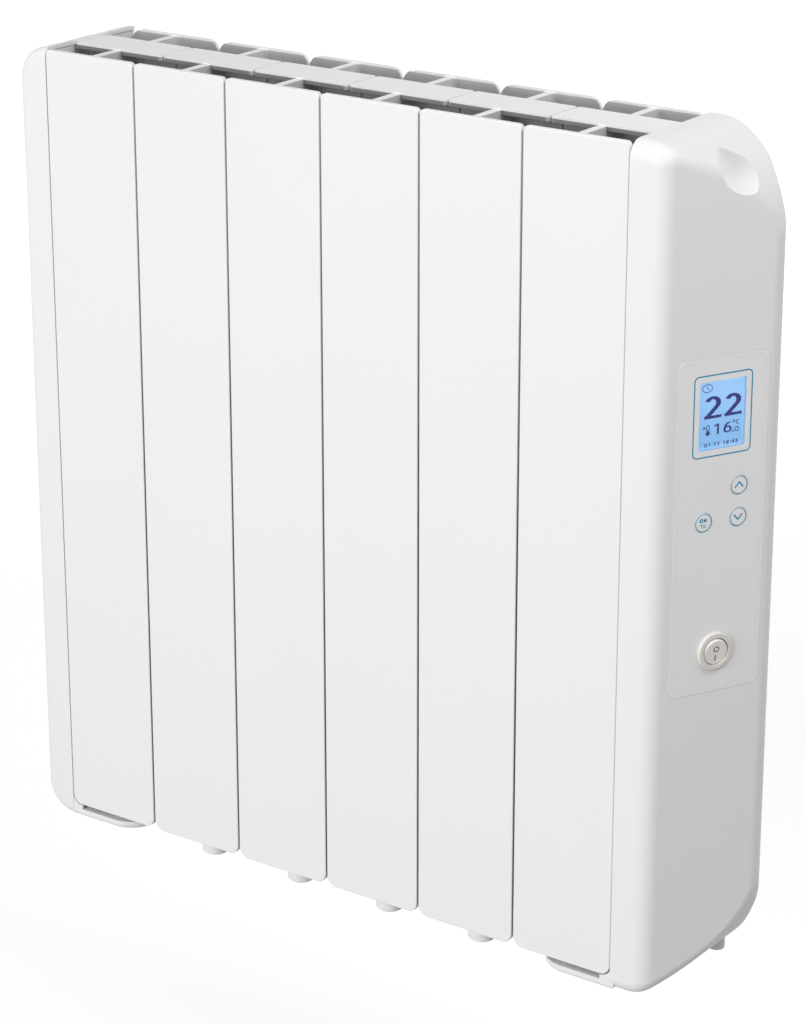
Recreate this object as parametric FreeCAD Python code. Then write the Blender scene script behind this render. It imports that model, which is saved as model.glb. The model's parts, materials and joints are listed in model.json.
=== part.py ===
import FreeCAD, Part
import math
import os

# Wall-hung electric radiator: six die-cast aluminium sections joined at two hub lines, a slim cap on the
# left and a wedge-shaped cap on the right that carries the control panel, with its heater and electronics.
# All lengths are in millimetres. x runs along the stack, y from front to rear, z up. The origin lies midway
# between the two wall-hook seats, on the underside of the top hubs.

V = FreeCAD.Vector
X_AXIS = V(1, 0, 0)
Y_AXIS = V(0, 1, 0)
Z_AXIS = V(0, 0, 1)

# Driving dimensions of the section stack
SECTION_COUNT = 6
SECTION_PITCH = 80.0
SECTION_DEPTH = 97.0
HUB_SPACING = 500.0
HUB_MARGIN = 38.5
HUB_RADIUS = 21.0
HUB_BORE_RADIUS = 16.5
HUB_COLLAR = 14.0
HUB_WAIST = 1.5
PLATE_GAP = 1.4
FRONT_PLATE = 4.0
REAR_PLATE = 3.0
FRONT_TOP_CORNER = 3.2
FRONT_BOTTOM_CORNER = 8.0
REAR_CORNER = 9.0
PLATE_EDGE = 0.9
WEB_THICKNESS = 6.0
WEB_ROOT = 3.0
FIN_THICKNESS = 2.5
CROWN_DEPTH = 34.0
CROWN_THICKNESS = 4.0
CROWN_GAP = 0.8
CROWN_CORNER = 3.0
TUBE_WIDTH = 24.0
TUBE_DEPTH = 34.0
TUBE_WALL = 4.0
HOOK_SLOT_WIDTH = 16.0
HOOK_SLOT_HEIGHT = 46.0
PEG_RADIUS = 10.0
PEG_LENGTH = 15.0
PEG_ROOT = 30.0
PEG_GAP = 3.0

# Joining pieces of the stack
GASKET = 1.0
GASKET_OUTER = 20.0
GASKET_INNER = 17.0
THREAD_CLEARANCE = 0.1
NIPPLE_LENGTH = 30.0
NIPPLE_BORE_RADIUS = 12.5
NIPPLE_CHAMFER = 1.0
PLUG_REACH = 16.0
PLUG_FLANGE = 5.0
PLUG_HEX = 6.0
PLUG_HEX_FLATS = 27.0
CORE_HOLE_RADIUS = 9.0
CORE_BOSS_WALL = 3.5
CORE_PLUG_STEM = 6.0
CORE_PLUG_HEAD = 2.0

# Heating element
ROD_RADIUS = 4.0
ROD_SPREAD = 13.0
ROD_FROM_LEFT = 40.0
ROD_STANDOUT = 3.0
ROD_CLEARANCE = 0.1
STUD_RADIUS = 1.75
STUD_LENGTH = 10.0
STUD_BUSH = 3.0

# End caps
CAP_WALL = 2.5
CAP_RISE = 1.0
CAP_DROP = 10.0
CAP_LAP = 0.2
LEFT_WIDTH = 25.0
LEFT_CORNER = 23.5
LEFT_EDGE = 5.5
RIGHT_FRONT = 24.7
RIGHT_REAR = 73.2
RIGHT_FRONT_EDGE = 14.0
RIGHT_REAR_EDGE = 15.0
RIGHT_REAR_OVERRUN = 0.3
RIGHT_CROWN_EDGE = 12.0
RIGHT_FOOT_EDGE = 4.0
RIGHT_FOOT_SIDE = 9.0
SWEEP_GAP = 0.52
SWEEP_RADIUS = 86.6
SWEEP_BLEND = 30.0
SWEEP_MEET = 1.55
SCOOP_RADIUS = 18.0
SCOOP_DEPTH = 7.5
SCOOP_TURN = 36.4
SCOOP_TIP_TURN = 52.2
SCOOP_TIP_SHIFT = 3.0
SCOOP_FROM_FRONT = 53.8
TONGUE_THICKNESS = 6.0
TONGUE_CLEARANCE = 0.5
TONGUE_EDGE = 3.4
GUSSET_GAP = 0.9
GUSSET_SINK = 0.6
PLATE_SHEET = 1.5
PLATE_CLEARANCE = 0.6
PLATE_CORNER = 12.0
TAB_HEIGHT = 24.0
TAB_REACH = 12.0
TAB_FROM_HUB = 62.0
TAB_CLEARANCE = 0.1
SCREW_SHANK = 1.6
SCREW_HEAD = 3.6
SCREW_SINK = 2.0
SCREW_LENGTH = 8.5
SCREW_CLEARANCE = 0.15

# Control panel on the sloping side of the right cap, measured along the slope and up
PANEL_HEIGHT = 230.0
PANEL_CORNER = 6.0
PANEL_FROM_EDGE = 14.4
PANEL_REAR_MARGIN = 0.18
PANEL_BOTTOM = 207.0
OVERLAY_THICKNESS = 0.7
OVERLAY_SINK = 0.5
OVERLAY_CLEARANCE = 0.2
DISPLAY_WIDTH = 35.5
DISPLAY_HEIGHT = 46.0
DISPLAY_UP = 76.0
LENS_MARGIN = 3.0
LENS_THICKNESS = 1.4
LENS_CLEARANCE = 0.2
LEDGE_MARGIN = 1.0
LENS_SINK = 0.05
GLASS_STEP_CLEARANCE = 0.15
GLASS_MARGIN = 4.0
GLASS_THICKNESS = 2.5
BOARD_THICKNESS = 1.6
CONTROL_BOARD_DEPTH = 8.0
CONTROL_BOARD_INSET = 4.8
CONTROL_BOARD_LOW = -8.0
PILLAR_GAP = 1.0
PILLAR_RADIUS = 3.2
PILLAR_INSET = 4.5
BOARD_SCREW_SHANK = 1.2
BOARD_SCREW_HEAD = 2.6
BOARD_SCREW_HEAD_HEIGHT = 1.8
BOARD_SCREW_GRIP = 4.5
BOARD_SCREW_CLEARANCE = 0.15
KEY_RADIUS = 6.5
KEY_GAP = 0.25
KEY_RISE = 0.45
KEY_SEAT = 0.7
KEY_POCKET = 1.6
KEY_STEM_RADIUS = 2.2
KEY_STEM_GAP = 0.4
KEY_TRAVEL_GAP = 0.6
KEY_ROUNDING = 0.4
TACT_WIDTH = 6.2
TACT_HEIGHT = 3.4
TACT_BUTTON_RADIUS = 1.7
TACT_BUTTON_HEIGHT = 1.2
KEY_COLUMN = 14.5
UP_KEY_UP = 26.1
DOWN_KEY_UP = 4.3
OK_KEY_ACROSS = -12.0

# Round rocker switch at the foot of the panel
SWITCH_DOWN = 86.8
BEZEL_RADIUS = 13.2
BEZEL_HEIGHT = 2.1
BEZEL_ROUNDING = 1.4
BARREL_RADIUS = 11.25
BARREL_DEPTH = 16.0
BARREL_CLEARANCE = 0.25
ROCKER_RADIUS = 9.3
ROCKER_CLEARANCE = 0.3
ROCKER_CENTRE = -1.4
ROCKER_FACE = 3.6
ROCKER_ROOT = 5.5
ROCKER_TILT = 9.0
ROCKER_WELL = 9.0
TRUNNION_RADIUS = 1.3
TRUNNION_REACH = 1.2
SNAP_WIDTH = 5.0
SNAP_REACH = 0.9
SNAP_HEIGHT = 3.0
BLADE_WIDTH = 4.8
BLADE_THICKNESS = 0.8
BLADE_LENGTH = 8.0
BLADE_SPREAD = 7.0

# Power board and its parts, on the right end plate
POWER_BOARD_WIDTH = 56.0
POWER_BOARD_HEIGHT = 96.0
POWER_BOARD_UP = 76.5
STANDOFF_RADIUS = 3.2
STANDOFF_HEIGHT = 6.0
STANDOFF_INSET = 4.5
RELAY = (16.0, 20.0, 15.5)
TRANSFORMER = (24.0, 30.0, 17.0)
TERMINAL_BLOCK = (40.0, 10.0, 12.0)
TERMINAL_COUNT = 5
CUTOUT_UP = 52.0
CUTOUT_FROM_REAR = 7.0
CUTOUT_RADIUS = 8.0
CUTOUT_HEIGHT = 9.0
CUTOUT_EAR = 12.0
CUTOUT_EAR_THICKNESS = 1.2

# Cable gland and room sensor, through the foot of the right cap
GLAND_X = 32.0
GLAND_FROM_REAR = 9.5
GLAND_OUTER = 5.8
GLAND_BELOW = 4.4
GLAND_SHOULDER = 14.0
GLAND_THREAD = 4.8
GLAND_BORE = 3.4
GLAND_BOSS_WALL = 3.2
GLAND_BOSS_HEIGHT = 12.0
GLAND_CLEARANCE = 0.2
GLAND_NUT_FLATS = 13.0
GLAND_NUT_HEIGHT = 5.0
GLAND_TAIL = 3.0
SENSOR_X = 12.0
SENSOR_RADIUS = 2.5
SENSOR_LENGTH = 22.0
SENSOR_BOSS_WALL = 2.4
SENSOR_BOSS_HEIGHT = 14.0
SENSOR_COLLAR = 1.5
SENSOR_CLEARANCE = 0.15

# Wiring
WIRE_RADIUS = 1.3
WIRE_GAP = 0.3
WIRE_BEND = 4.0
RIBBON_BEND = 9.0
RIBBON_WIDTH = 12.0
RIBBON_THICKNESS = 1.0
RIBBON_ACROSS = -12.0
RIBBON_FOLD = 12.0
SOCKET_RIBBON = (18.0, 8.0, 10.0)
SOCKET_SWITCH = (11.0, 8.0, 10.0)
SOCKET_LEAD_SPREAD = 5.0
SOCKET_GAP = 1.0

# Places worked out from the driving dimensions
STACK_HALF = SECTION_COUNT * SECTION_PITCH / 2
HALF_PITCH = SECTION_PITCH / 2
FRONT_Y = -SECTION_DEPTH / 2
REAR_Y = SECTION_DEPTH / 2
SECTION_HEIGHT = HUB_SPACING + 2 * HUB_MARGIN
TOP_HUB_Z = HUB_RADIUS
BOTTOM_HUB_Z = TOP_HUB_Z - HUB_SPACING
SECTION_TOP = TOP_HUB_Z + HUB_MARGIN
SECTION_BOTTOM = SECTION_TOP - SECTION_HEIGHT
CAP_TOP = SECTION_TOP + CAP_RISE
CAP_BOTTOM = SECTION_BOTTOM - CAP_DROP
CAP_INNER_TOP = CAP_TOP - CAP_WALL
CAP_INNER_BOTTOM = CAP_BOTTOM + CAP_WALL
CAP_INNER_FRONT = FRONT_Y + CAP_WALL
CAP_INNER_REAR = REAR_Y - CAP_WALL
HUB_FACE = STACK_HALF - GASKET / 2
PLATE_INNER = HUB_FACE + GASKET
PLATE_OUTER = PLATE_INNER + PLATE_SHEET
FLANGE_FACE = PLATE_OUTER + GASKET
FLANGE_TOP = FLANGE_FACE + PLUG_FLANGE
HEX_TOP = FLANGE_TOP + PLUG_HEX
THREAD_RADIUS = HUB_BORE_RADIUS - THREAD_CLEARANCE
PEG_Y = -(CORE_HOLE_RADIUS + CORE_BOSS_WALL + PEG_GAP + PEG_RADIUS)
TONGUE_RADIUS = PEG_Y - FRONT_Y - GUSSET_SINK
PEG_X = STACK_HALF - HALF_PITCH
RIGHT_SLOPE = (RIGHT_REAR - RIGHT_FRONT) / SECTION_DEPTH
LEAN = math.atan(RIGHT_SLOPE)
REAR_EDGE_Y = REAR_Y + RIGHT_REAR_OVERRUN - RIGHT_REAR_EDGE
REAR_EDGE_X = RIGHT_FRONT + RIGHT_SLOPE * (REAR_EDGE_Y - FRONT_Y) - RIGHT_REAR_EDGE / math.cos(LEAN)
SWEEP_WIDTH = REAR_EDGE_X + RIGHT_REAR_EDGE + SWEEP_GAP
SWEEP_TURN = math.acos(1 - (SWEEP_WIDTH - RIGHT_FRONT - SWEEP_MEET) / SWEEP_RADIUS)
SWEEP_DROP = SWEEP_BLEND + (SWEEP_RADIUS - SWEEP_BLEND) * math.sin(SWEEP_TURN)
REAR_ROUND = RIGHT_REAR_EDGE / math.tan((math.pi / 2 - LEAN) / 2)
PANEL_WIDTH = SECTION_DEPTH / math.cos(LEAN) - PANEL_FROM_EDGE - REAR_ROUND - PANEL_REAR_MARGIN
PANEL_MIDDLE = PANEL_FROM_EDGE + PANEL_WIDTH / 2
PANEL_POINT = V(
    STACK_HALF + RIGHT_FRONT + math.sin(LEAN) * PANEL_MIDDLE,
    FRONT_Y + math.cos(LEAN) * PANEL_MIDDLE,
    SECTION_BOTTOM + PANEL_BOTTOM + PANEL_HEIGHT / 2,
)
KEY_PLACES = {
    "up_key": (KEY_COLUMN, UP_KEY_UP),
    "down_key": (KEY_COLUMN, DOWN_KEY_UP),
    "ok_key": (OK_KEY_ACROSS, DOWN_KEY_UP),
}
CONTROL_BOARD_WIDTH = PANEL_WIDTH - 2 * CONTROL_BOARD_INSET
CONTROL_BOARD_HIGH = DISPLAY_UP + DISPLAY_HEIGHT / 2 + GLASS_MARGIN + PILLAR_GAP + PILLAR_RADIUS + PILLAR_INSET
CONTROL_BOARD_HEIGHT = CONTROL_BOARD_HIGH - CONTROL_BOARD_LOW
CONTROL_BOARD_UP = (CONTROL_BOARD_HIGH + CONTROL_BOARD_LOW) / 2
CONTROL_BOARD_FACE = -CAP_WALL - CONTROL_BOARD_DEPTH
TACT_TOP = CONTROL_BOARD_FACE + TACT_HEIGHT + TACT_BUTTON_HEIGHT
BOARD_X = PLATE_OUTER + STANDOFF_HEIGHT
BOARD_FACE = BOARD_X + BOARD_THICKNESS
BOARD_LOW = BOTTOM_HUB_Z + POWER_BOARD_UP


# Shape helpers


def box(x0, x1, y0, y1, z0, z1):
    """Box between two corners."""
    return Part.makeBox(x1 - x0, y1 - y0, z1 - z0, V(x0, y0, z0))


def tube(outer, inner, length, start, direction):
    """Straight round tube."""
    return Part.makeCylinder(outer, length, start, direction).cut(
        Part.makeCylinder(inner, length, start, direction))


def joined(shapes):
    """One solid from several that overlap or touch."""
    return shapes[0].multiFuse(shapes[1:]).removeSplitter()


def corner_arc(before, point, after, radius):
    """First, middle and last point of the tangent arc that rounds a corner."""
    back = (before - point).normalize()
    ahead = (after - point).normalize()
    half = math.acos(max(-1.0, min(1.0, back.dot(ahead)))) / 2
    inward = (back + ahead).normalize()
    reach = radius / math.tan(half)
    middle = point + inward * (radius / math.sin(half) - radius)
    return point + back * reach, middle, point + ahead * reach


def rounded_polygon(corners):
    """Closed wire in the XY plane from (x, y, radius) corners, each rounded by a tangent arc."""
    points = [V(x, y, 0) for x, y, radius in corners]
    arcs = []
    for i, corner in enumerate(corners):
        arcs.append(corner_arc(points[i - 1], points[i], points[(i + 1) % len(points)], corner[2]))
    edges = []
    for i, (first, middle, last) in enumerate(arcs):
        if corners[i][2] > 0:
            edges.append(Part.Arc(first, middle, last).toShape())
        start = arcs[(i + 1) % len(arcs)][0]
        if (start - last).Length > 1e-6:
            edges.append(Part.makeLine(last, start))
    return Part.Wire(Part.__sortEdges__(edges))


def prism(corners, z0, z1):
    """Upright prism on a rounded polygon."""
    solid = Part.Face(rounded_polygon(corners)).extrude(Z_AXIS * (z1 - z0))
    solid.translate(Z_AXIS * z0)
    return solid


def rectangle(width, height, radius, across=0.0, up=0.0):
    """Corners of a rounded rectangle round a centre."""
    signs = ((-1, -1), (1, -1), (1, 1), (-1, 1))
    return [(across + i * width / 2, up + j * height / 2, radius) for i, j in signs]


def upright_sheet(corners, y0, y1):
    """Sheet that stands in the XZ plane: corners are (x, z, radius)."""
    solid = Part.Face(rounded_polygon(corners)).extrude(Z_AXIS * (y1 - y0))
    solid.rotate(V(0, 0, 0), X_AXIS, 90)
    solid.translate(Y_AXIS * y1)
    return solid


def side_sheet(corners, x0, x1):
    """Sheet that stands in the YZ plane: corners are (y, z, radius)."""
    solid = Part.Face(rounded_polygon(corners)).extrude(Z_AXIS * (x1 - x0))
    turn = FreeCAD.Rotation(Z_AXIS, 90).multiply(FreeCAD.Rotation(X_AXIS, 90))
    solid.Placement = FreeCAD.Placement(V(x0, 0, 0), turn)
    return solid


def hexagon(flats, z0, z1):
    """Upright hexagonal prism on the origin's axis."""
    radius = flats / math.sqrt(3)
    corners = []
    for i in range(6):
        angle = math.pi / 3 * i
        corners.append((radius * math.cos(angle), radius * math.sin(angle), 0))
    return prism(corners, z0, z1)


def along_x(shape, x, y, z):
    """Turn a shape that was built on the Z axis onto the X axis, at a place."""
    turned = shape.copy()
    turned.Placement = FreeCAD.Placement(V(x, y, z), FreeCAD.Rotation(Y_AXIS, 90))
    return turned


def on_panel(shape):
    """Place a shape drawn on the panel: x along the slope to the rear, y up, z out of the cap."""
    turn = FreeCAD.Rotation(Z_AXIS, 90 - math.degrees(LEAN)).multiply(FreeCAD.Rotation(X_AXIS, 90))
    placed = shape.copy()
    placed.Placement = FreeCAD.Placement(PANEL_POINT, turn).multiply(shape.Placement)
    return placed


def panel_point(across, up, out):
    """A point given on the panel, in the frame of the whole radiator."""
    turn = FreeCAD.Rotation(Z_AXIS, 90 - math.degrees(LEAN)).multiply(FreeCAD.Rotation(X_AXIS, 90))
    return FreeCAD.Placement(PANEL_POINT, turn).multVec(V(across, up, out))


def panel_disc(radius, low, high, across, up):
    """Disc on the panel between two heights."""
    return Part.makeCylinder(radius, high - low, V(across, up, low), Z_AXIS)


def mirrored(shape):
    """The same shape on the other end of the stack."""
    return shape.mirror(V(0, 0, 0), X_AXIS)


def write(name, shape):
    """One STEP file for a node."""
    shape.exportStep("parts/" + name + ".step")


# Die-cast sections


def plate_corners(top_radius, bottom_radius):
    """Outline of a section's front or rear plate."""
    half = (SECTION_PITCH - PLATE_GAP) / 2
    return [
        (-half, SECTION_BOTTOM, bottom_radius),
        (half, SECTION_BOTTOM, bottom_radius),
        (half, SECTION_TOP, top_radius),
        (-half, SECTION_TOP, top_radius),
    ]


def front_plate():
    """Flat front plate with a softened front edge."""
    sheet = upright_sheet(plate_corners(FRONT_TOP_CORNER, FRONT_BOTTOM_CORNER), FRONT_Y, FRONT_Y + FRONT_PLATE)
    face_edges = [e for e in sheet.Edges if e.BoundBox.YMax < FRONT_Y + 0.01]
    return sheet.makeFillet(PLATE_EDGE, face_edges)


def hook_slots(y0, y1):
    """Room for the wall hooks at both joints of a section, below the top hub."""
    inner = HALF_PITCH - HOOK_SLOT_WIDTH / 2
    right = box(inner, HALF_PITCH, y0, y1, -HOOK_SLOT_HEIGHT, HUB_RADIUS / 2)
    return right.fuse(mirrored(right))


def rear_plate():
    """Rear plate, cut away where the wall hooks reach in."""
    sheet = upright_sheet(plate_corners(REAR_CORNER, REAR_CORNER), REAR_Y - REAR_PLATE, REAR_Y)
    return sheet.cut(hook_slots(REAR_Y - 2 * REAR_PLATE, REAR_Y + REAR_PLATE))


def hub(z):
    """Round hub across the section with a collar at each joint."""
    half = HALF_PITCH - GASKET / 2
    body = Part.makeCylinder(HUB_RADIUS - HUB_WAIST, 2 * half, V(-half, 0, z), X_AXIS)
    left = Part.makeCylinder(HUB_RADIUS, HUB_COLLAR, V(-half, 0, z), X_AXIS)
    right = Part.makeCylinder(HUB_RADIUS, HUB_COLLAR, V(half - HUB_COLLAR, 0, z), X_AXIS)
    return joined([body, left, right])


def water_tube(inset):
    """Oblong upright tube between the hubs, or its bore."""
    width = TUBE_WIDTH - 2 * inset
    depth = TUBE_DEPTH - 2 * inset
    corners = rectangle(width, depth, width / 2 - 0.01)
    return prism(corners, BOTTOM_HUB_Z, TOP_HUB_Z)


def is_web_root(edge):
    """Whether an edge is the inner corner between the web and a plate."""
    bounds = edge.BoundBox
    on_web = abs(abs(bounds.Center.x) - WEB_THICKNESS / 2) < 0.01 and bounds.XLength < 0.01
    inner = (FRONT_Y + FRONT_PLATE, REAR_Y - REAR_PLATE)
    on_plate = min(abs(bounds.Center.y - y) for y in inner) < 0.01 and bounds.YLength < 0.01
    return on_web and on_plate and bounds.ZLength > SECTION_HEIGHT / 2


def section_casting():
    """One section about x = 0: plates, web, fin, crown, hubs, tube and locating peg in one casting."""
    half_plate = (SECTION_PITCH - PLATE_GAP) / 2
    half_crown = (SECTION_PITCH - CROWN_GAP) / 2
    inner_front = FRONT_Y + FRONT_PLATE
    inner_rear = REAR_Y - REAR_PLATE
    web_half = WEB_THICKNESS / 2
    fin_half = FIN_THICKNESS / 2
    web = box(-web_half, web_half, inner_front - 1, inner_rear + 1, SECTION_BOTTOM + 2, SECTION_TOP - 1)
    plates = joined([front_plate(), rear_plate(), web])
    roots = [e for e in plates.Edges if is_web_root(e)]
    plates = plates.makeFillet(WEB_ROOT, roots)
    fin = box(-half_plate, half_plate, -fin_half, fin_half, SECTION_BOTTOM + 6, SECTION_TOP - 2)
    fin = fin.cut(hook_slots(-FIN_THICKNESS, FIN_THICKNESS))
    crown = prism(rectangle(2 * half_crown, CROWN_DEPTH, CROWN_CORNER), SECTION_TOP - CROWN_THICKNESS, SECTION_TOP)
    boss = Part.makeCylinder(CORE_HOLE_RADIUS + CORE_BOSS_WALL, BOTTOM_HUB_Z - SECTION_BOTTOM,
                             V(0, 0, SECTION_BOTTOM), Z_AXIS)
    peg = Part.makeCylinder(PEG_RADIUS, PEG_LENGTH + PEG_ROOT, V(0, PEG_Y, SECTION_BOTTOM - PEG_LENGTH), Z_AXIS)
    foot = [e for e in peg.Edges if e.BoundBox.ZMax < SECTION_BOTTOM - PEG_LENGTH + 0.01]
    peg = peg.makeChamfer(1.0, foot)
    body = joined([plates, fin, crown, boss, peg, water_tube(0), hub(TOP_HUB_Z), hub(BOTTOM_HUB_Z)])
    bores = [water_tube(TUBE_WALL)]
    for z in (TOP_HUB_Z, BOTTOM_HUB_Z):
        bores.append(Part.makeCylinder(HUB_BORE_RADIUS, SECTION_PITCH, V(-HALF_PITCH, 0, z), X_AXIS))
    bores.append(Part.makeCylinder(CORE_HOLE_RADIUS, BOTTOM_HUB_Z - SECTION_BOTTOM + 1,
                                   V(0, 0, SECTION_BOTTOM - 1), Z_AXIS))
    return body.cut(joined(bores))


def section_centres():
    """The x of each section, from the left."""
    return [(i + 0.5) * SECTION_PITCH - STACK_HALF for i in range(SECTION_COUNT)]


def joint_places():
    """The x and z of each joint between two hubs."""
    places = []
    for i in range(1, SECTION_COUNT):
        for z in (TOP_HUB_Z, BOTTOM_HUB_Z):
            places.append((i * SECTION_PITCH - STACK_HALF, z))
    return places


# Joining pieces of the stack


def section_gaskets():
    """Flat ring between each pair of hubs."""
    rings = []
    for x, z in joint_places():
        rings.append(tube(GASKET_OUTER, GASKET_INNER, GASKET, V(x - GASKET / 2, 0, z), X_AXIS))
    return Part.makeCompound(rings)


def section_nipples():
    """Threaded sleeve that draws each pair of hubs together."""
    half = NIPPLE_LENGTH / 2
    outer = THREAD_RADIUS
    short = outer - NIPPLE_CHAMFER
    points = [
        V(NIPPLE_BORE_RADIUS, 0, -half), V(short, 0, -half), V(outer, 0, NIPPLE_CHAMFER - half),
        V(outer, 0, half - NIPPLE_CHAMFER), V(short, 0, half), V(NIPPLE_BORE_RADIUS, 0, half),
    ]
    outline = Part.makePolygon(points + points[:1])
    sleeve = Part.Face(outline).revolve(V(0, 0, 0), Z_AXIS, 360)
    return Part.makeCompound([along_x(sleeve, x, 0, z) for x, z in joint_places()])


def core_plugs():
    """Plug in the foot of each upright tube."""
    foot = SECTION_BOTTOM
    plugs = []
    for x in section_centres():
        stem = Part.makeCylinder(CORE_HOLE_RADIUS - THREAD_CLEARANCE, CORE_PLUG_STEM, V(x, 0, foot), Z_AXIS)
        head = Part.makeCylinder(CORE_HOLE_RADIUS + CORE_BOSS_WALL - 1, CORE_PLUG_HEAD,
                                 V(x, 0, foot - CORE_PLUG_HEAD), Z_AXIS)
        plugs.append(joined([stem, head]))
    return Part.makeCompound(plugs)


def hub_plug():
    """Plug on the Z axis: thread below zero, flange and hexagon above."""
    thread = Part.makeCylinder(THREAD_RADIUS, PLUG_REACH, V(0, 0, -PLUG_REACH), Z_AXIS)
    flange = Part.makeCylinder(HUB_RADIUS, PLUG_FLANGE, V(0, 0, 0), Z_AXIS)
    flats = hexagon(PLUG_HEX_FLATS, PLUG_FLANGE, PLUG_FLANGE + PLUG_HEX)
    return joined([thread, flange, flats])


def blank_plugs():
    """Plugs of both left hubs and of the top right hub."""
    plug = hub_plug()
    right = along_x(plug, FLANGE_FACE, 0, TOP_HUB_Z)
    left = mirrored(right)
    low = mirrored(along_x(plug, FLANGE_FACE, 0, BOTTOM_HUB_Z))
    return Part.makeCompound([right, left, low])


def plug_gaskets():
    """Sealing rings on both faces of each end plate, at every hub."""
    rings = []
    for z in (TOP_HUB_Z, BOTTOM_HUB_Z):
        for x in (HUB_FACE, PLATE_OUTER):
            ring = tube(GASKET_OUTER, GASKET_INNER, GASKET, V(x, 0, z), X_AXIS)
            rings.extend([ring, mirrored(ring)])
    return Part.makeCompound(rings)


# Heating element


def heater_rods(radius, x0):
    """Two straight legs joined by a round bend at the far end, along the bottom hubs."""
    spread = ROD_SPREAD / 2
    bend_x = ROD_FROM_LEFT - STACK_HALF
    legs = []
    for y in (-spread, spread):
        legs.append(Part.makeCylinder(radius, x0 - bend_x, V(bend_x, y, BOTTOM_HUB_Z), X_AXIS))
    ring = Part.makeTorus(spread, radius, V(bend_x, 0, BOTTOM_HUB_Z), Z_AXIS)
    reach = spread + radius
    half = box(bend_x - 2 * reach, bend_x, -2 * reach, 2 * reach, BOTTOM_HUB_Z - 2 * reach,
               BOTTOM_HUB_Z + 2 * reach)
    return joined([legs[0], legs[1], ring.common(half)])


def heater_head():
    """Threaded head that seals the heater in the bottom right hub."""
    head = along_x(hub_plug(), FLANGE_FACE, 0, BOTTOM_HUB_Z)
    holes = []
    for side in (-1, 1):
        start = V(FLANGE_FACE - PLUG_REACH - 1, side * ROD_SPREAD / 2, BOTTOM_HUB_Z)
        holes.append(Part.makeCylinder(ROD_RADIUS + ROD_CLEARANCE, SECTION_PITCH, start, X_AXIS))
    return head.cut(joined(holes))


def heater_terminals():
    """Insulating bush and stud on the end of each rod."""
    studs = []
    for side in (-1, 1):
        start = V(HEX_TOP + ROD_STANDOUT, side * ROD_SPREAD / 2, BOTTOM_HUB_Z)
        bush = Part.makeCylinder(ROD_RADIUS - 0.8, STUD_BUSH, start, X_AXIS)
        stud = Part.makeCylinder(STUD_RADIUS, STUD_BUSH + STUD_LENGTH, start, X_AXIS)
        studs.append(joined([bush, stud]))
    return Part.makeCompound(studs)


# End plates and caps


def tab_heights():
    """The z of the two screw tabs on an end plate."""
    return (TOP_HUB_Z - TAB_FROM_HUB, BOTTOM_HUB_Z + TAB_FROM_HUB)


def tab_screw_x():
    """The x of a cap screw, in the middle of its tab."""
    return PLATE_OUTER + TAB_REACH / 2


def end_plate():
    """Sheet-steel plate held under the hub plugs, with two tabs that take the cap screws."""
    front = CAP_INNER_FRONT + PLATE_CLEARANCE
    rear = CAP_INNER_REAR - TAB_CLEARANCE
    low = CAP_BOTTOM + TONGUE_THICKNESS + PLATE_CLEARANCE
    high = CAP_INNER_TOP - PLATE_CLEARANCE
    corners = [(front, low, PLATE_CORNER), (rear, low, 2.0), (rear, high, 2.0), (front, high, PLATE_CORNER)]
    pieces = [side_sheet(corners, PLATE_INNER, PLATE_OUTER)]
    for z in tab_heights():
        pieces.append(box(PLATE_INNER, PLATE_OUTER + TAB_REACH, rear - PLATE_SHEET, rear,
                          z - TAB_HEIGHT / 2, z + TAB_HEIGHT / 2))
    holes = []
    for z in (TOP_HUB_Z, BOTTOM_HUB_Z):
        holes.append(Part.makeCylinder(HUB_BORE_RADIUS + 0.3, 10, V(PLATE_INNER - 5, 0, z), X_AXIS))
    for z in tab_heights():
        holes.append(Part.makeCylinder(SCREW_SHANK + THREAD_CLEARANCE, 10, V(tab_screw_x(), rear - 5, z), Y_AXIS))
    return joined(pieces).cut(joined(holes))


def cap_screw(grow):
    """Countersunk cap screw on the Y axis, its head flush at y = 0; grown, it is the hole for it."""
    cone = Part.makeCone(SCREW_SHANK + grow, SCREW_HEAD + grow, SCREW_SINK, V(0, -SCREW_SINK, 0), Y_AXIS)
    shank = Part.makeCylinder(SCREW_SHANK + grow, SCREW_LENGTH, V(0, -SCREW_LENGTH, 0), Y_AXIS)
    return joined([cone, shank])


def cap_screws(grow=0.0):
    """The two screws of one cap, entered from the rear."""
    screws = []
    for z in tab_heights():
        screw = cap_screw(grow)
        screw.translate(V(tab_screw_x(), REAR_Y, z))
        screws.append(screw)
    return Part.makeCompound(screws)


def sharp_edges(solid):
    """Outer edges of a cap form that are not yet rounded, but for its open side and its rear face."""
    found = []
    for edge in solid.Edges:
        bounds = edge.BoundBox
        open_side = bounds.XMax < STACK_HALF - CAP_LAP + 0.01
        rear_face = bounds.YMin > solid.BoundBox.YMax - 0.01
        if open_side or rear_face:
            continue
        faces = [f for f in solid.Faces if any(e.isSame(edge) for e in f.Edges)]
        point = edge.valueAt((edge.FirstParameter + edge.LastParameter) / 2)
        normals = [f.normalAt(*f.Surface.parameter(point)) for f in faces]
        if len(normals) == 2 and normals[0].getAngle(normals[1]) > math.radians(3):
            found.append(edge)
    return found


def left_form(inset):
    """The slim cap's outer form, drawn on the right-hand end, or the hollow inside it."""
    x0 = STACK_HALF - CAP_LAP
    x1 = STACK_HALF + LEFT_WIDTH - inset
    low = CAP_BOTTOM + inset
    high = CAP_TOP - inset
    front = FRONT_Y + inset
    corner = LEFT_CORNER - inset
    silhouette = [(x0, low, 0), (x1, low, corner), (x1, high, corner), (x0, high, 0)]
    form = upright_sheet(silhouette, front, REAR_Y - inset)
    edges = [e for e in form.Edges if e.BoundBox.YMax < front + 0.01 and e.BoundBox.XMax > x0 + 0.01]
    return form.makeFillet(LEFT_EDGE - inset, edges)


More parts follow.
